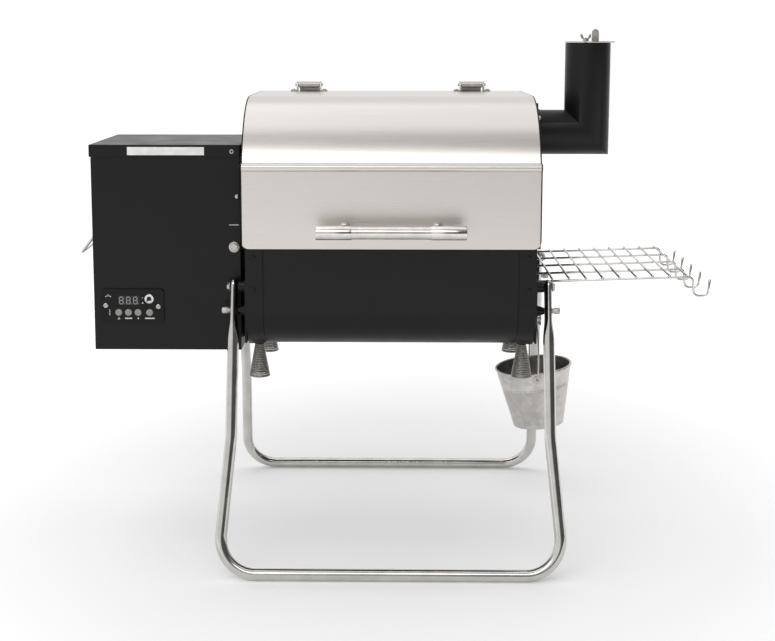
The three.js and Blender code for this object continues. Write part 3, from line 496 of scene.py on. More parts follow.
def refined(node: str, width: float = 0.5) -> bpy.types.Object:
    """Copies a CAD node's solid and eases its edges.

    Args:
        node: The node's name.
        width: The width of the eased edges, in millimetres.

    Returns:
        The new object.
    """
    mesh = bpy.data.meshes.new(node + "_finished")
    shape = bmesh.new()
    shape.from_mesh(frame["nodes"][node].data)
    bmesh.ops.remove_doubles(shape, verts=shape.verts, dist=2e-5)
    bmesh.ops.dissolve_limit(shape, angle_limit=math.radians(0.8), verts=shape.verts, edges=shape.edges)
    shape.to_mesh(mesh)
    shape.free()
    mesh.shade_smooth()
    mesh.set_sharp_from_angle(angle=math.radians(32))
    made = bpy.data.objects.new(node + "_finished", mesh)
    bpy.context.scene.collection.objects.link(made)
    ease = made.modifiers.new("Eased edges", "BEVEL")
    ease.width = width * MM
    ease.segments = 2
    ease.limit_method = "ANGLE"
    ease.angle_limit = math.radians(32)
    ease.harden_normals = True
    return made


class Head(Enum):
    """How a fastener's head is formed."""

    RIVET = "rivet"
    CROSS = "cross-recessed screw"
    HEX = "flanged hexagon bolt"


def cross_lobe(a: float) -> float:
    """Returns the reach of a plus sign with arms of length 1 at the angle a."""
    c, s = max(abs(math.cos(a)), 1e-6), max(abs(math.sin(a)), 1e-6)
    return max(min(1 / c, 0.3 / s), min(1 / s, 0.3 / c))


def hex_lobe(a: float) -> float:
    """Returns the reach of a hexagon with an apothem of 1 at the angle a."""
    return 1 / math.cos((a % (math.pi / 3)) - math.pi / 6)


def fastener(centre: Point, axis: Point, head: Head, radius: float, height: float) -> tuple[list, list]:
    """Skins a fastener's head.

    Args:
        centre: The middle of its underside.
        axis: The way it faces.
        head: How it is formed.
        radius: Its radius.
        height: Its height.

    Returns:
        The points and faces.
    """
    dome = [(1, 0), (1, 0.2), (0.96, 0.45), (0.84, 0.7), (0.64, 0.88)]
    profiles = {
        Head.RIVET: [*dome, (0.34, 0.98), (0, 1)],
        Head.CROSS: [*dome, (0.5, 0.97), (0.46, 0.96), (0.36, 0.35), (0, 0.25)],
        Head.HEX: [(1, 0), (1, 0.14), (0.9, 0.22), (0.66, 0.26), (0.66, 0.88), (0.6, 1), (0, 0.94)],
    }
    lobes = {
        Head.RIVET: lambda a, i: 1.0,
        Head.CROSS: lambda a, i: cross_lobe(a) if i in (6, 7) else 1.0,
        Head.HEX: lambda a, i: hex_lobe(a) if i in (3, 4, 5) else 1.0,
    }
    profile = [(r * radius, h * height) for r, h in profiles[head]]
    return turned(centre, axis, profile, 48, lobes[head])


class Assembly:
    """A sub-assembly: it dresses its pieces and joins them to the frame."""

    def keep(self, piece: bpy.types.Object, finish: Finish, *nodes: str,
             body: str | None = None) -> bpy.types.Object:
        """Dresses a piece and lets it ride on a body, in place of any CAD nodes named.

        Args:
            piece: The finished piece.
            finish: Its finish.
            *nodes: The CAD nodes it replaces.
            body: The body it rides on, if not the first node's.

        Returns:
            The piece.
        """
        piece.data.materials.clear()
        piece.data.materials.append(finish.material())
        on = body or frame["nodes"][nodes[0]]["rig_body"]
        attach(piece, on)
        if nodes:
            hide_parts(*nodes)
        LOG.info("%s: %s on %s", piece.name, finish.name, on)
        return piece

    def ease(self, finish: Finish, *nodes: str, width: float = 0.5) -> None:
        """Keeps an eased copy of each CAD node, all in one finish."""
        for node in nodes:
            self.keep(refined(node, width), finish, node)


# ---- Barrel and lid -------------------------------------------------------------------------


@dataclass(frozen=True)
class Barrel(Assembly):
    """The trough, its two end caps and what lies inside them."""

    half: float = 234.0
    front: float = -190.0
    inset: float = 13.0
    rivet: tuple[float, float] = (3.6, 1.6)

    def build(self) -> None:
        """Builds and dresses the barrel."""
        self.ease(POWDER_COAT, "barrel_shell", "left_end_cap", "right_end_cap", width=0.7)
        self.ease(BARE_STEEL, "cooking_grate", "grease_tray", "heat_baffle", "fire_pot", width=0.4)
        self.ease(POLISHED, "igniter_rod", "temperature_probe", width=0.4)
        self.fasteners()

    def fasteners(self) -> None:
        """Adds the rivets that hold each end cap's flange to the trough."""
        x = self.half - self.inset
        walls = ((self.front - 0.1, -Y, (452, 505)), (-self.front + 0.1, Y, (440, 560, 680)))
        rivets = [fastener((side * x, y, z), out, Head.RIVET, *self.rivet)
                  for y, out, heights in walls for side in (-1, 1) for z in heights]
        self.keep(mesh_piece("flange_rivets", rivets), POWDER_COAT, body="body")


@dataclass(frozen=True)
class Lid(Assembly):
    """The bent stainless lid with its bead, black end rims, handle and hinges."""

    half: float = 240.0
    rim: float = 2.3
    sheet: float = 1.6
    front: float = -195.0
    lip: float = 519.0
    corner: float = 13.0
    dome: tuple[float, float, float] = (-40.0, 607.0, 150.0)
    rear: float = 174.0
    bar: tuple[float, float] = (-253.0, 554.0)
    bar_half: float = 117.5
    sleeve: float = 56.0
    post_x: float = 74.0
    hinge_x: tuple[float, float] = (-150.0, 150.0)

    def profile(self, inset: float, lip: float) -> list[tuple[float, float]]:
        """Returns the lid's outline in (y, z), drawn in by inset, from its lip to its rear edge."""
        y, z, r = self.dome
        bead = arc(self.front + 4, 649, 7 - inset, 235, 100, 9)
        return [(self.front + inset, lip), (self.front + inset, self.lip + self.corner + 1),
                (self.front + inset, 580), (self.front + inset, 641), *bead,
                *arc(y, z, r - inset, 161, 90, 40), (60, z + r - inset), (self.rear, z + r - inset)]

    def lip_at(self, x: float) -> float:
        """Returns the height of the lid's lower edge, which curves up at both ends."""
        past = max(abs(x) - (self.half - self.corner), 0.0)
        return self.lip + self.corner - math.sqrt(max(self.corner ** 2 - past ** 2, 0.0))

    def section(self, x: float, depth: float, inset: float = 0.0) -> Ring:
        """Returns the closed outline of a strip of the lid at x, `depth` thick."""
        lip = self.lip_at(x)
        outer, inner = self.profile(inset, lip), self.profile(depth, lip)
        return [Vector((x, y, z)) for y, z in [*outer, *reversed(inner)]]

    def skin(self) -> None:
        """Builds the brushed sheet."""
        edge = self.half - self.rim
        flat = self.half - self.corner
        curve = [flat + (edge - flat) * k / 8 for k in range(9)]
        stations = [-x for x in reversed(curve)] + [k * flat / 8 for k in range(-7, 8)] + curve
        sheet = mesh_piece("lid_sheet", [loft([self.section(x, self.sheet) for x in stations])], 30)
        self.keep(sheet, STAINLESS, "lid_skin")
        rims = []
        for side in (-1, 1):
            xs = [side * (self.half - self.rim + 0.1), side * (self.half - 0.4), side * self.half]
            rims.append(loft([self.section(x, 14.0, inset) for x, inset in zip(xs, (0.0, 0.0, 0.4))]))
            low, high = sorted((side * 213.0, side * 239.0))
            y, z = self.front + 1.8, self.lip + 0.4
            rims.append(box((low, y, z), (high, y + 1, self.lip + 26)))
        self.keep(mesh_piece("lid_rims", rims, 30), POWDER_COAT, body="lid")

    def handle(self) -> None:
        """Builds the bar, whose two end sleeves are a little thicker than its middle."""
        end, inner = self.bar_half, self.bar_half - self.sleeve
        half = [(0, -end), (8.8, -end), (10.4, -end + 0.5), (11, -end + 1.6), (11, -inner - 1.0),
                (10.7, -inner - 0.3), (9.9, -inner), (9.9, -inner + 0.2)]
        profile = [*half, *((r, -h) for r, h in reversed(half))]
        y, z = self.bar
        bar = mesh_piece("handle_bar", [turned((0, y, z), X, profile, 64)])
        self.keep(bar, POLISHED, "lid_handle_bar")
        for side, hand in ENDS:
            post = [(0, 0), (9, 0), (9, 2.2), (8.4, 2.9), (6.2, 3.2), (6, 4), (6, 46.2), (0, 46.2)]
            made = turned((side * self.post_x, self.front - 0.4, z), -Y, post, 40)
            self.keep(mesh_piece(f"handle_post_{hand}", [made]), POLISHED, f"lid_handle_post_{hand}")

    def hinges(self) -> None:
        """Dresses the two hinges and adds the screws that hold them."""
        for kind in ("lugs", "arm"):
            self.ease(ZINC, *(f"lid_hinge_{kind}_{hand}" for _, hand in ENDS), width=0.4)
        feet = [fastener((x + s * 28.5, 163, 759.2), Z, Head.RIVET, 3.4, 2.2)
                for x in self.hinge_x for s in (-1, 1)]
        self.keep(mesh_piece("hinge_foot_rivets", feet), ZINC, body="lid")
        arms = [fastener((x + s * 10, 192.8, z), Y, Head.CROSS, 3.6, 2.2)
                for x in self.hinge_x for s in (-1, 1) for z in (702, 724)]
        self.keep(mesh_piece("hinge_arm_screws", arms), ZINC, body="body")

    def build(self) -> None:
        """Builds and dresses the lid."""
        self.skin()
        self.handle()
        self.hinges()


# ---- Hopper ---------------------------------------------------------------------------------


@dataclass(frozen=True)
class Hopper(Assembly):
    """The pellet hopper with its flap, its feed and its drop handle."""

    face: float = -131.0
    left: float = -492.0
    right: float = -248.0
    label: tuple[float, float, float, float] = (-431.0, -305.0, 664.0, 677.3)
    loop: float = 2.35
    hang: tuple[float, float] = (24.5, 32.0)
    handle: tuple[float, float] = (-15.0, 524.0)
    grip: tuple[float, float] = (34.0, 50.0)
    fan: tuple[float, float] = (58.0, 378.0)
    inlet: tuple[float, float] = (44.0, 454.0)

    def front(self) -> None:
        """Adds what is fixed to the front wall: bolts, a slot's edge and a blank label."""
        y = self.face
        heads = ((-260, 670, Head.CROSS, 5.5, 2.6), (-252.4, 596, Head.RIVET, 3.6, 1.8),
                 (-258, 512, Head.HEX, 8.75, 4.2))
        screws = [fastener((x, y - 0.1, z), -Y, head, r, h) for x, z, head, r, h in heads]
        self.keep(mesh_piece("hopper_front_fasteners", screws), ZINC, body="body")
        strip = box((-266.0, y + 0.3, 547.9), (-249.6, y + 1.4, 549.7), 0.2)
        self.keep(mesh_piece("hopper_slot_edge", [strip]), ZINC, body="body")
        x0, x1, z0, z1 = self.label
        blank = box((x0, y - 2.75, z0), (x1, y - 2.4, z1), 0.1)
        self.keep(mesh_piece("hopper_lid_label", [blank]), LABEL, body="hopper_cover")
        back = [fastener((x, 101.1, z), Y, Head.CROSS, 4.2, 2.2)
                for x in (self.left + 12, self.right - 12) for z in (352, 500, 640)]
        self.keep(mesh_piece("hopper_back_screws", back), POWDER_COAT, body="body")

    def feed(self) -> None:
        """Dresses the bin, the auger, its motor, the fan and the power inlet."""
        self.ease(GALVANISED, "pellet_bin")
        self.ease(BARE_STEEL, "auger_tube", "auger", "auger_motor", "fan_housing", width=0.4)
        self.ease(PLASTIC, "fan_wheel", "power_inlet", width=0.3)
        self.ease(POWDER_COAT, "hopper_mount_frame")
        middle, z = self.inlet
        pins = [box((self.left - 1.8, y - 1.1, z - 2), (self.left + 12, y + 1.1, z + 2), 0.3)
                for y in (middle - 6, middle, middle + 6)]
        self.keep(mesh_piece("power_inlet_pins", pins), ZINC, body="body")

    def guard(self) -> None:
        """Adds the wire guard over the fan's intake."""
        x, (y, z) = self.left + 1, self.fan
        rings = [[(x, y + r * math.cos(a), z + r * math.sin(a))
                  for a in (2 * math.pi * k / 36 for k in range(37))] for r in (9, 17, 25)]
        spokes = [[(x, y + r * math.cos(a), z + r * math.sin(a)) for r in (-26, 26)]
                  for a in (0.4, 0.4 + math.pi / 2)]
        wires = [sweep(path, 0.8, 8) for path in (*rings, *spokes)]
        self.keep(mesh_piece("fan_guard", wires), ZINC, body="body")

    def drop_handle(self) -> None:
        """Builds the swinging loop and dresses its plate."""
        self.ease(PLASTIC, "hopper_handle_plate", width=0.8)
        x, (y, z), (eye, side), (out, low) = self.left - 9, self.handle, self.grip, self.hang
        path = [(x, y - eye, z), (x, y - side, z), (x - out, y - side, z - low),
                (x - out, y + side, z - low), (x, y + side, z), (x, y + eye, z)]
        loop = mesh_piece("drop_handle", [sweep(filleted(path, 4), self.loop, 18)])
        self.keep(loop, CHROME, "hopper_handle")
        screws = [fastener((self.left - 4.4, y + s * 20, z), -X, Head.CROSS, 4, 2.4) for s in (-1, 1)]
        self.keep(mesh_piece("handle_plate_screws", screws), ZINC, body="body")

    def build(self) -> None:
        """Builds and dresses the hopper."""
        self.ease(POWDER_COAT, "hopper_box", "hopper_lid", width=0.9)
        self.front()
        self.feed()
        self.guard()
        self.drop_handle()


@dataclass(frozen=True)
class Panel(Assembly):
    """The control panel: display, four keys, a probe jack and generic marks."""

    x: float = -428.0
    z: float = 412.5
    face: float = -134.4
    keys: tuple[float, ...] = (-22.7, -6.7, 9.3, 28.5)
    key_z: float = -9.9
    jack: tuple[float, float] = (28.4, 13.2)
    window: tuple[float, float] = (-5.9, 10.1)
    screws: tuple[tuple[float, float], ...] = ((-44.1, 1.6), (43.2, 0.0))
    digit: tuple[float, float, float] = (7.4, 13.0, 1.5)

    def at(self, x: float, z: float, y: float = 0.0) -> Vector:
        """Returns a point by its place from the panel's middle, `y` in front of its face."""
        return Vector((self.x + x, self.face - y, self.z + z))

    def bar(self, x: float, z: float, w: float, h: float, turn: float = 0.0,
            y: float = 0.0) -> tuple[list[Vector], list]:
        """Skins a thin flat bar with pointed ends, turned by `turn` degrees."""
        tip = min(w, h) / 2
        outline = [(-w / 2, 0), (-w / 2 + tip, h / 2), (w / 2 - tip, h / 2), (w / 2, 0),
                   (w / 2 - tip, -h / 2), (-w / 2 + tip, -h / 2)]
        c, s = math.cos(math.radians(turn)), math.sin(math.radians(turn))
        return loft([[self.at(x + a * c - b * s, z + a * s + b * c, y + out) for a, b in outline]
                     for out in (0.0, 0.15)])

    def display(self) -> None:
        """Builds three seven-segment digits, with all their segments lit."""
        w, h, t = self.digit
        cx, cz = self.window
        marks = []
        for k in (-1, 0, 1):
            x = cx + k * 11.6 - 0.8
            marks += [self.bar(x, cz + dz, w - t, t, 0, -0.4) for dz in (-h / 2 + t / 2, 0, h / 2 - t / 2)]
            marks += [self.bar(x + dx, cz + dz, h / 2 - t, t, 90, -0.4)
                      for dx in (-w / 2 + t / 2, w / 2 - t / 2) for dz in (-h / 4 + t / 4, h / 4 - t / 4)]
            marks.append(self.bar(x + w / 2 + 1.5, cz - h / 2 + 0.8, 1.6, 1.6, 0, -0.4))
        self.keep(mesh_piece("display_segments", marks), SEGMENT, body="body")

    def prints(self) -> None:
        """Builds the printed marks: bars and dots below the keys, and two small signs."""
        marks = [self.bar(-6.7, -20, 13, 2.2), self.bar(28.5, -20, 17, 2.2), self.bar(9.3, -20, 3.4, 3.4)]
        marks += [self.bar(-22.7 + dx, -20, 3.8, 1.1, turn) for dx, turn in ((-0.9, 60), (0.9, -60))]
        marks += [self.bar(-22.7, -21.4, 4.2, 1.1)]
        marks += [self.bar(-40 + dx, 18, 7.5, 1.4, turn) for dx, turn in ((-2, 38), (2, -38), (0, 0))]
        marks += [self.bar(-38, -10 + dz, w, 1.2) for dz, w in ((0, 2.6), (2.2, 2.6), (-2.2, 2.6))]
        marks += [self.bar(-38, -10, 10.5, 1.1, 90), self.bar(17, 6, 3.0, 3.0), self.bar(17, 14.5, 2.6, 1.1)]
        self.keep(mesh_piece("panel_marks", marks), INK, body="body")

    def build(self) -> None:
        """Builds and dresses the panel."""
        self.ease(GLOSS_PLASTIC, "control_panel", width=0.6)
        self.ease(WINDOW, "display_window", width=0.3)
        self.ease(BOARD, "controller_board", width=0.3)
        self.display()
        self.prints()
        cap = [(0, -1.1), (5.6, -1.1), (5.6, 1.2), (5.2, 1.65), (4.5, 1.8), (2.5, 1.55), (0, 1.45)]
        for i, x in enumerate(self.keys, 1):
            key = turned(self.at(x, self.key_z), -Y, cap, 40)
            self.keep(mesh_piece(f"key_{i}", [key]), RUBBER, f"button_{i}")
        ring = [(3.9, -2.6), (5.6, -2.6), (5.6, 0.3), (7.4, 0.4), (7.8, 0.9), (7.8, 2.2), (7.3, 2.8),
                (4.6, 2.8), (3.9, 2.3)]
        x, z = self.jack
        socket = collar(self.at(x, z), -Y, (X, Z), ring, 48)
        self.keep(mesh_piece("probe_jack_ring", [socket]), CHROME, "probe_jack")
        well = turned(self.at(x, z, -2.9), -Y, [(0, 0), (3.85, 0), (3.85, 0.4), (0, 0.4)], 32)
        self.keep(mesh_piece("probe_jack_well", [well]), PLASTIC, body="body")
        screws = [fastener(self.at(dx, dz), -Y, Head.CROSS, 4.2, 1.8) for dx, dz in self.screws]
        self.keep(mesh_piece("panel_screws", screws), ZINC, body="body")


# ---- Chimney --------------------------------------------------------------------------------


@dataclass(frozen=True)
class Chimney(Assembly):
    """The mitred pipe with its flange, clamp and swivelling damper."""

    x: float = 336.0
    y: float = -5.0
    z: float = 693.5
    outer: float = 38.2
    inner: float = 36.7
    root: float = 234.4
    top: float = 846.0
    sides: int = 72

    def bend(self, r: float, kind: str, at: float = 0.0) -> Ring:
        """Returns a ring of the pipe: across its level run, in the mitre or across its upright."""
        ring = []
        for j in range(self.sides):
            a = 2 * math.pi * j / self.sides
            across, rise = r * math.cos(a), r * math.sin(a)
            spot = {"level": (at, self.z + rise), "mitre": (self.x - rise, self.z + rise),
                    "upright": (self.x - rise, at)}[kind]
            ring.append(Vector((spot[0], self.y + across, spot[1])))
        return ring

    def pipe(self) -> None:
        """Builds the pipe, with the damper's strap and stud inside its top."""
        r, q, lip = self.outer, self.inner, 0.5
        rings = [self.bend(r, "level", self.root), self.bend(r, "mitre"),
                 self.bend(r, "upright", self.top - lip), self.bend((r + q) / 2, "upright", self.top),
                 self.bend(q, "upright", self.top - lip), self.bend(q, "mitre"),
                 self.bend(q, "level", self.root)]
        strap = box((self.x - 24, self.y + 22, self.top - 4), (self.x + 24, self.y + 32, self.top - 1.5))
        post = [(0, 0), (2.4, 0), (2.4, 11.4), (1.9, 12), (0, 12)]
        stud = turned((self.x, self.y + 27, self.top - 4), Z, post, 24)
        skins = [loft(rings, closed=True), strap, stud]
        self.keep(mesh_piece("chimney_duct", skins), POWDER_COAT, "chimney_pipe")

    def clamp(self) -> None:
        """Adds the band round the level run, with its ear and screw."""
        strip = ((38.3, 246), (39.2, 246), (39.6, 246.4), (39.6, 254.6), (39.2, 255), (38.3, 255))
        band = collar((0, self.y, self.z), X, (Y, Z), strip, self.sides)
        ear = box((248, self.y - 4, self.z + 38.6), (253, self.y + 4, self.z + 49.5), 0.8)
        self.keep(mesh_piece("chimney_clamp", [band, ear]), POWDER_COAT, body="body")
        out = Vector((0, -0.766, 0.643))
        screw = fastener(Vector((250.5, self.y, self.z)) + out * 39.4, out, Head.HEX, 4.6, 4.4)
        self.keep(mesh_piece("chimney_clamp_screw", [screw]), ZINC, body="body")

    def build(self) -> None:
        """Builds and dresses the chimney."""
        self.pipe()
        self.clamp()
        self.ease(POWDER_COAT, "chimney_flange")
        self.ease(ZINC, "damper_cap", "damper_wing_nut", width=0.3)
        spots = [fastener((236.5, self.y + dy, self.z + dz), X, Head.RIVET, 3.4, 1.6)
                 for dy in (-40, 40) for dz in (-39, 39)]
        self.keep(mesh_piece("chimney_flange_rivets", spots), ZINC, body="body")


# ---- Legs and feet --------------------------------------------------------------------------


@dataclass(frozen=True)
class Leg(Assembly):
    """One U-shaped folding leg with its brackets, pivot caps and lock pins."""

    name: str
    end: int
    top: float
    foot: float
    pivot: tuple[float, float] = (150.0, 450.0)
    reach: tuple[float, float] = (277.0, 9.525)
    kink: float = 245.0
    corner: float = 56.0
    tube: float = 9.525
    flat: tuple[float, float] = (6.5, 13.0)
    drop: float = 39.0
    flatten: tuple[float, float] = (50.0, 88.0)
    ease_in: float = 8.0
    sides: int = 28

    @property
    def slope(self) -> float:
        """The leg's lean from upright, in radians."""
        return math.atan2(self.reach[0] - self.pivot[0], self.pivot[1] - self.reach[1])

    @property
    def length(self) -> float:
        """The distance from the pivot to the foot bar."""
        return math.hypot(self.reach[0] - self.pivot[0], self.pivot[1] - self.reach[1])

    def at(self, x: float, s: float) -> Vector:
        """Returns a point of the leg's plane: x across, s down from the pivot."""
        y, z = self.pivot
        return Vector((x, self.end * (y + s * math.sin(self.slope)), z - s * math.cos(self.slope)))

    def stations(self) -> list[tuple[float, float, float, float, float, float]]:
        """Returns places down one side: x, s, the direction's two parts, how flat and how big."""
        run = Vector((self.foot - self.top, self.length - self.kink)).normalized()
        turn = math.pi / 2 + math.atan2(run.x, run.y)
        start = Vector((self.foot, self.length)) - run * self.corner * math.tan(turn / 2)
        rounded = [(-12.0, 0.3), (-11.6, 0.5), (-10.4, 0.7), (-8.4, 0.86), (-5.6, 0.96), (-2.0, 1.0)]
        out = [(self.top, s, 0.0, 1.0, 1.0, size) for s, size in rounded]
        first, last = self.flatten
        for k in range(9):
            t = k / 8
            out.append((self.top, first + (last - first) * t, 0.0, 1.0, 1 - t * t * (3 - 2 * t), 1.0))
        soft = self.ease_in
        for k in range(7):
            t = k / 6
            d = Vector((run.x * t, 1 - t + run.y * t)).normalized()
            x, down = self.top + run.x * soft * t * t, self.kink + soft * (2 * t - 1)
            out.append((x, down, d.x, d.y, 0.0, 1.0))
        centre = Vector((start.x - self.corner * run.y, start.y + self.corner * run.x))
        for k in range(19):
            a = turn * k / 18
            c, s = math.cos(a), math.sin(a)
            d = Vector((run.x * c - run.y * s, run.x * s + run.y * c))
            p = centre + Vector((d.y, -d.x)) * self.corner
            out.append((p.x, p.y, d.x, d.y, 0.0, 1.0))
        return out

    def ring(self, mirror: int, station: tuple[float, float, float, float, float, float]) -> Ring:
        """Returns the tube's outline at one station of one side."""
        x, s, dx, dy, flat, size = station
        down = Vector((0, self.end * math.sin(self.slope), -math.cos(self.slope)))
        face = Vector((0, self.end * math.cos(self.slope), math.sin(self.slope)))
        side = Vector((mirror * dy, 0, 0)) - down * dx
        wide = (self.tube + (self.flat[0] - self.tube) * flat) * size
        deep = (self.tube + (self.flat[1] - self.tube) * flat) * size
        turns = (2 * math.pi * j / self.sides for j in range(self.sides))
        middle = self.at(mirror * x, s)
        return [middle + side * wide * math.cos(a) + face * deep * math.sin(a) for a in turns]

    def lock(self, side: int, hand: str) -> None:
        """Builds a pull pin with a knurled knob; its teeth are drawn coarser than the real ones."""
        middle = self.at(side * (self.top + self.flat[0]), self.drop)
        profile = [(0, -12.4), (3, -12.4), (3, 0.6), (4.2, 0.7), (4.2, 2.5), (4.9, 2.7), (5.4, 3.4),
                   (5.4, 11.2), (4.9, 12), (0, 12)]

        def knurl(a: float, i: int) -> float:
            """Returns the knob's toothed reach."""
            return 1 - 0.035 * (1 + math.cos(22 * a)) if i in (6, 7) else 1.0

        pin = turned(middle, X * side, profile, 88, knurl)
        self.keep(mesh_piece(f"pull_pin_{self.name}_{hand}", [pin]), ZINC, f"lock_pin_{self.name}_{hand}")

    def build(self) -> None:
        """Builds and dresses the leg."""
        line = self.stations()
        rings = [self.ring(-1, s) for s in line] + [self.ring(1, s) for s in reversed(line)]
        self.keep(mesh_piece(f"{self.name}_tube_leg", [loft(rings)], 45), CHROME, f"{self.name}_leg")
        for side, hand in ENDS:
            self.ease(POWDER_COAT, f"leg_bracket_{self.name}_{hand}", width=0.6)
            self.lock(side, hand)
            outer = self.at(side * (self.top + self.flat[0] + 0.2), 0)
            cap = fastener(outer, X * side, Head.HEX, 8.2, 4.4)
            self.keep(mesh_piece(f"pivot_nut_{self.name}_{hand}", [cap]), ZINC, body="body")


@dataclass(frozen=True)
class SpringFoot(Assembly):
    """A cone-shaped coil under the barrel, a foot for when the legs are folded up."""

    name: str
    x: float
    y: float
    wire: float = 1.3
    top: tuple[float, float] = (346.2, 6.35)
    bottom: tuple[float, float] = (291.3, 16.6)
    turns: float = 20.0

    def build(self) -> None:
        """Winds the coil and keeps it in place of the CAD cone."""
        steps = int(self.turns * 22)
        path = []
        for k in range(steps + 1):
            t = k / steps
            r = self.top[1] + (self.bottom[1] - self.top[1]) * t
            z = self.top[0] + (self.bottom[0] - self.top[0]) * min(t * 1.03, 1.0)
            a = 2 * math.pi * self.turns * t
            path.append((self.x + r * math.cos(a), self.y + r * math.sin(a), z))
        coil = mesh_piece(f"coil_{self.name}", [sweep(path, self.wire, 7)], 60)
        self.keep(coil, SPRING, f"spring_foot_{self.name}")


# ---- Shelf and bucket -----------------------------------------------------------------------


@dataclass(frozen=True)
class Shelf(Assembly):
    """The welded wire shelf, whose long wires end as tool hooks."""

    origin: tuple[float, float, float] = (238.5, -131.0, 455.5)
    span: float = 262.0
    rise: float = 1.9
    lean: float = 1.3
    rows: int = 5
    first: float = 266.6
    pitch: float = 27.5
    end: float = 497.0
    wire: float = 2.0
    lap: float = 3.3
    bend: float = 9.0
    clip: tuple[float, float] = (240.5, 267.6)
    hook: tuple[tuple[float, float], ...] = ((499, -32), (522, -32), (525.1, -5))

    def build(self) -> None:
        """Builds the wires, their welds and the clip, in the shelf's own slope."""
        place = (Matrix.Translation(self.origin) @ Matrix.Rotation(math.radians(-self.rise), 4, "Y")
                 @ Matrix.Rotation(math.radians(self.lean), 4, "X"))

        def at(x: float, y: float, z: float) -> Vector:
            """Returns a point of the shelf in the grill's frame."""
            return place @ Vector((x - self.origin[0], y, z))

        lines = [self.span * i / (self.rows - 1) for i in range(self.rows)]
        across = [self.first + self.pitch * k for k in range(int((self.end - self.first) / self.pitch) + 1)]
        wires, welds = [], []
        for y in lines:
            path = [(self.origin[0], 0), (self.end, 0), *self.hook]
            bent = filleted([(x, y, z) for x, z in path], self.bend)
            wires.append(sweep([at(*p) for p in bent], self.wire, 12))
        for x in across:
            wires.append(sweep([at(x, -2, self.lap), at(x, self.span + 2, self.lap)], 1.9, 12))
            for y in lines:
                blob = [(0, -1.5), (1.7, -1.1), (2.5, 0), (1.7, 1.1), (0, 1.5)]
                welds.append(turned(at(x, y, 1.7), Z, blob, 10))
        self.keep(mesh_piece("shelf_wires", [*wires, *welds], 50), CHROME, "side_shelf")
        section = ((-0.6, -2.6), (10.6, -2.6), (11, -2.2), (11, -0.8), (10.6, -0.4), (-0.6, -0.4),
                   (-1, -0.8), (-1, -2.2))
        clip = loft([[at(x, y, z) for y, z in section] for x in self.clip])
        self.keep(mesh_piece("shelf_clip", [clip]), ZINC, body="body")
        self.ease(ZINC, "shelf_bracket", width=0.4)
        bolts = [fastener((236.6, y, 446), X, Head.HEX, 4.6, 3.4) for y in (-95, 0, 95)]
        self.keep(mesh_piece("shelf_bracket_bolts", bolts), ZINC, body="body")


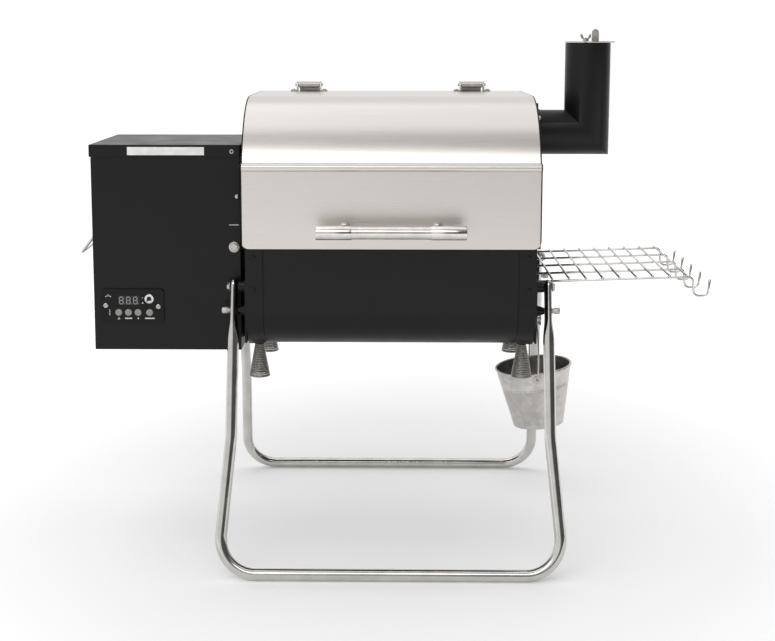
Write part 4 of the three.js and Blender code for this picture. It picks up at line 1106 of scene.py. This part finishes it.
@dataclass(frozen=True)
class Bucket(Assembly):
    """The galvanised grease bucket, its bail and the drain spout it hangs from."""

    origin: tuple[float, float, float] = (250.0, -20.0, 286.0)
    tilt: float = -6.3
    top: float = 65.0
    bottom: float = 43.0
    height: float = 103.0
    wall: float = 1.3
    ear_drop: float = 9.0
    spout: tuple[float, float, float, float] = (204.0, 262.0, 370.0, 10.0)

    @property
    def ear_face(self) -> float:
        """The wall's outer radius at the ears."""
        return self.top - (self.top - self.bottom) / self.height * self.ear_drop

    def pail(self, place: Matrix) -> None:
        """Builds the bucket with its rolled rim, two beads, lap seam and ears."""
        h, r0, r1, w = self.height, self.bottom, self.top, self.wall

        def side(z: float) -> float:
            """Returns the wall's outer radius at a height below the rim."""
            return r0 + 0.6 + (r1 - r0 - 0.6) * (z + h) / (h - 2)

        beads = [(side(z) + out, z) for middle in (-30, -33) for z, out in
                 ((middle + 1, 0), (middle, 0.5), (middle - 1, 0))]
        rim = [(r1 + 0.15 + 2.0 * math.cos(a), -0.1 + 2.0 * math.sin(a))
               for a in (math.radians(-100 + 25 * k) for k in range(13))]
        outer = [(0, -h + 2), (r0 - 1, -h + 2), (r0 - 0.8, -h), (side(-h), -h), (side(-h) + 0.5, -h + 1.5),
                 (side(-h + 5), -h + 5), *sorted(beads, key=lambda p: p[1]), (side(-4), -4)]
        inner = [(r1 - w, -3), (side(-h + 3.4) - w, -h + 3.4), (0, -h + 3.4)]

        def lap(a: float, i: int) -> float:
            """Returns the reach with the seam's lap, 0.5 mm proud, at the front."""
            near = abs((a - math.radians(250) + math.pi) % (2 * math.pi) - math.pi) < math.radians(4)
            return 1.008 if near and 3 <= i < len(outer) else 1.0

        body = turned((0, 0, 0), Z, [*outer, *rim, *inner], 120, lap)
        ring = [(2.2, -2.0), (7, -2.0), (7, 2.4), (6.4, 3.0), (2.8, 3.0), (2.2, 2.4)]
        ears = [collar((0, s * self.ear_face, -self.ear_drop), Y * s, (X, Z), ring, 32) for s in (-1, 1)]
        skins = [([place @ Vector(p) for p in points], faces) for points, faces in (body, *ears)]
        self.keep(mesh_piece("pail", skins, 34), GALVANISED, "grease_bucket")

    def bail(self, place: Matrix) -> None:
        """Builds the wire bail over the spout."""
        hole = place @ Vector((0, 0, -self.ear_drop))
        face = self.ear_face
        radius = face + 7
        spring = self.spout[2] + self.spout[3] + 1.5 + 0.4 - radius
        y = self.origin[1]
        arch = [(hole.x, y - radius * math.cos(a), spring + radius * math.sin(a))
                for a in (math.pi * k / 40 for k in range(41))]
        lower = filleted([(hole.x, y - face + 4, hole.z), (hole.x, y - radius, hole.z), arch[0]], 1.8)
        upper = filleted([arch[-1], (hole.x, y + radius, hole.z), (hole.x, y + face - 4, hole.z)], 1.8)
        wire = sweep([*lower, *arch[1:-1], *upper], 1.5, 14)
        self.keep(mesh_piece("bail_wire", [wire]), ZINC, "bucket_bail")

    def build(self) -> None:
        """Builds and dresses the bucket and its spout."""
        place = Matrix.Translation(self.origin) @ Matrix.Rotation(math.radians(self.tilt), 4, "Y")
        self.pail(place)
        self.bail(place)
        x0, x1, z, r = self.spout
        y = self.origin[1]
        q = r - 1.5
        root = [(q + 0.4, x0), (r - 0.4, x0), (r, x0 + 0.4)]
        flange = [(r, 234.4), (r + 3.6, 234.4), (r + 4, 234.8), (r + 4, 236), (r + 3.6, 236.4), (r, 236.4)]
        lip = [(r, x1 - 3), (r + 1.9, x1 - 3), (r + 2.5, x1 - 2.4), (r + 2.5, x1 - 0.6), (r + 1.9, x1)]
        bore = [(q + 0.4, x1), (q, x1 - 0.4), (q, x0 + 0.4)]
        tube = collar((0, y, z), X, (Y, Z), [*root, *flange, *lip, *bore], 56)
        self.keep(mesh_piece("spout_tube", [tube]), ZINC, "drain_spout")


# ---- Studio ---------------------------------------------------------------------------------


@dataclass(frozen=True)
class Studio:
    """A white floor, soft lights and the camera, in metres."""

    floor_half: float = 12.0
    floor_glow: tuple[float, float] = (0.15, 0.5)
    glow_reach: tuple[float, float] = (0.6, 2.0)
    eye: tuple[float, float, float] = (-0.0101, -2.2448, 0.8504)
    pitch: float = 7.5369
    yaw: float = 0.8
    lens: float = 60.387
    shift: tuple[float, float] = (0.02685, -0.14)

    def floor(self) -> None:
        """Lays a large pale floor, which glows more away from the grill so that it fades to white."""
        h = self.floor_half
        mesh = bpy.data.meshes.new("studio_floor")
        mesh.from_pydata([(-h, -h, 0), (h, -h, 0), (h, h, 0), (-h, h, 0)], [], [(0, 1, 2, 3)])
        made = bpy.data.objects.new("studio_floor", mesh)
        bpy.context.scene.collection.objects.link(made)
        paper = bpy.data.materials.new("Paper backdrop, white")
        paper.use_nodes = True
        tree = paper.node_tree
        shader = tree.nodes["Principled BSDF"]
        shader.inputs["Base Color"].default_value = linear("#f4f4f4")
        shader.inputs["Roughness"].default_value = 0.9
        shader.inputs["Specular IOR Level"].default_value = 0.1
        shader.inputs["Emission Color"].default_value = linear("#ffffff")
        place = add(tree, "TexCoord").outputs["Object"]
        far = add(tree, "VectorMath", {0: place}, operation="LENGTH")
        glow = add(tree, "MapRange", {
            "Value": far.outputs["Value"], "From Min": self.glow_reach[0], "From Max": self.glow_reach[1],
            "To Min": self.floor_glow[0], "To Max": self.floor_glow[1],
        })
        tree.links.new(glow.outputs["Result"], shader.inputs["Emission Strength"])
        mesh.materials.append(paper)

    def world(self) -> None:
        """Lights the room: white behind, grey overhead, and in front from pale at left to dark at right."""
        room = bpy.data.worlds.new("Studio")
        bpy.context.scene.world = room
        room.use_nodes = True
        tree = room.node_tree
        tree.nodes.clear()
        way = add(tree, "SeparateXYZ", {0: add(tree, "TexCoord").outputs["Generated"]})
        front = add(tree, "MapRange", {"Value": way.outputs["X"], "From Min": -0.18, "From Max": 0.18,
                                       "To Min": 0.92, "To Max": 0.1})
        back = add(tree, "MapRange", {"Value": way.outputs["Y"], "From Min": 0.3, "From Max": 0.75,
                                      "To Min": front.outputs["Result"], "To Max": 1.0})
        above = add(tree, "MapRange", {"Value": way.outputs["Z"], "From Min": 0.45, "From Max": 0.9,
                                       "To Min": 0.0, "To Max": 0.6})
        both = add(tree, "Math", {0: back.outputs["Result"], 1: above.outputs["Result"]},
                   operation="MAXIMUM")
        glow = add(tree, "Background", {"Color": (1, 1, 1, 1), "Strength": both.outputs[0]})
        add(tree, "OutputWorld", {"Surface": glow.outputs[0]})

    def softbox(self, name: str, place: Point, aim: Point, size: tuple[float, float],
                power: float) -> None:
        """Adds one soft rectangular light.

        Args:
            name: Its name.
            place: Where it stands.
            aim: The point it faces.
            size: Its width and height.
            power: Its power in watts.
        """
        data = bpy.data.lights.new(name, "AREA")
        data.shape = "RECTANGLE"
        data.size, data.size_y = size
        data.energy = power
        lamp = bpy.data.objects.new(name, data)
        lamp.location = place
        lamp.rotation_euler = (Vector(aim) - Vector(place)).to_track_quat("-Z", "Y").to_euler()
        bpy.context.scene.collection.objects.link(lamp)

    def camera(self) -> None:
        """Places the camera level with the lid, in front and a little above."""
        data = bpy.data.cameras.new("Camera")
        data.lens = self.lens
        data.sensor_width = 36.0
        data.shift_x, data.shift_y = self.shift
        view = bpy.data.objects.new("Camera", data)
        view.location = self.eye
        view.rotation_euler = (math.radians(90 - self.pitch), 0.0, math.radians(self.yaw))
        bpy.context.scene.collection.objects.link(view)
        bpy.context.scene.camera = view

    def build(self) -> None:
        """Builds the studio."""
        self.floor()
        self.world()
        self.softbox("Front softbox", (-0.5, -2.5, 2.6), (0.0, -0.1, 0.6), (3.4, 0.9), 27.0)
        self.softbox("Overhead softbox", (0.0, 0.5, 3.0), (0.0, 0.0, 0.4), (3.0, 2.6), 17.0)
        self.camera()
        bpy.context.scene.view_settings.view_transform = "Standard"


def main() -> None:
    """Builds every sub-assembly."""
    logging.basicConfig(level=logging.INFO, format="%(name)s %(message)s")
    parts: list[Assembly] = [
        Barrel(), Lid(), Hopper(), Panel(), Chimney(),
        Leg("front", -1, 257.0, 275.0), Leg("rear", 1, 278.0, 283.0),
        *(SpringFoot(f"{end}_{hand}", side * 220.0, y)
          for end, y in (("front", -110.0), ("rear", 70.0)) for hand, side in (("left", -1), ("right", 1))),
        Shelf(), Bucket(),
    ]
    for part in parts:
        part.build()
    Studio().build()


if __name__ == "__main__":
    main()
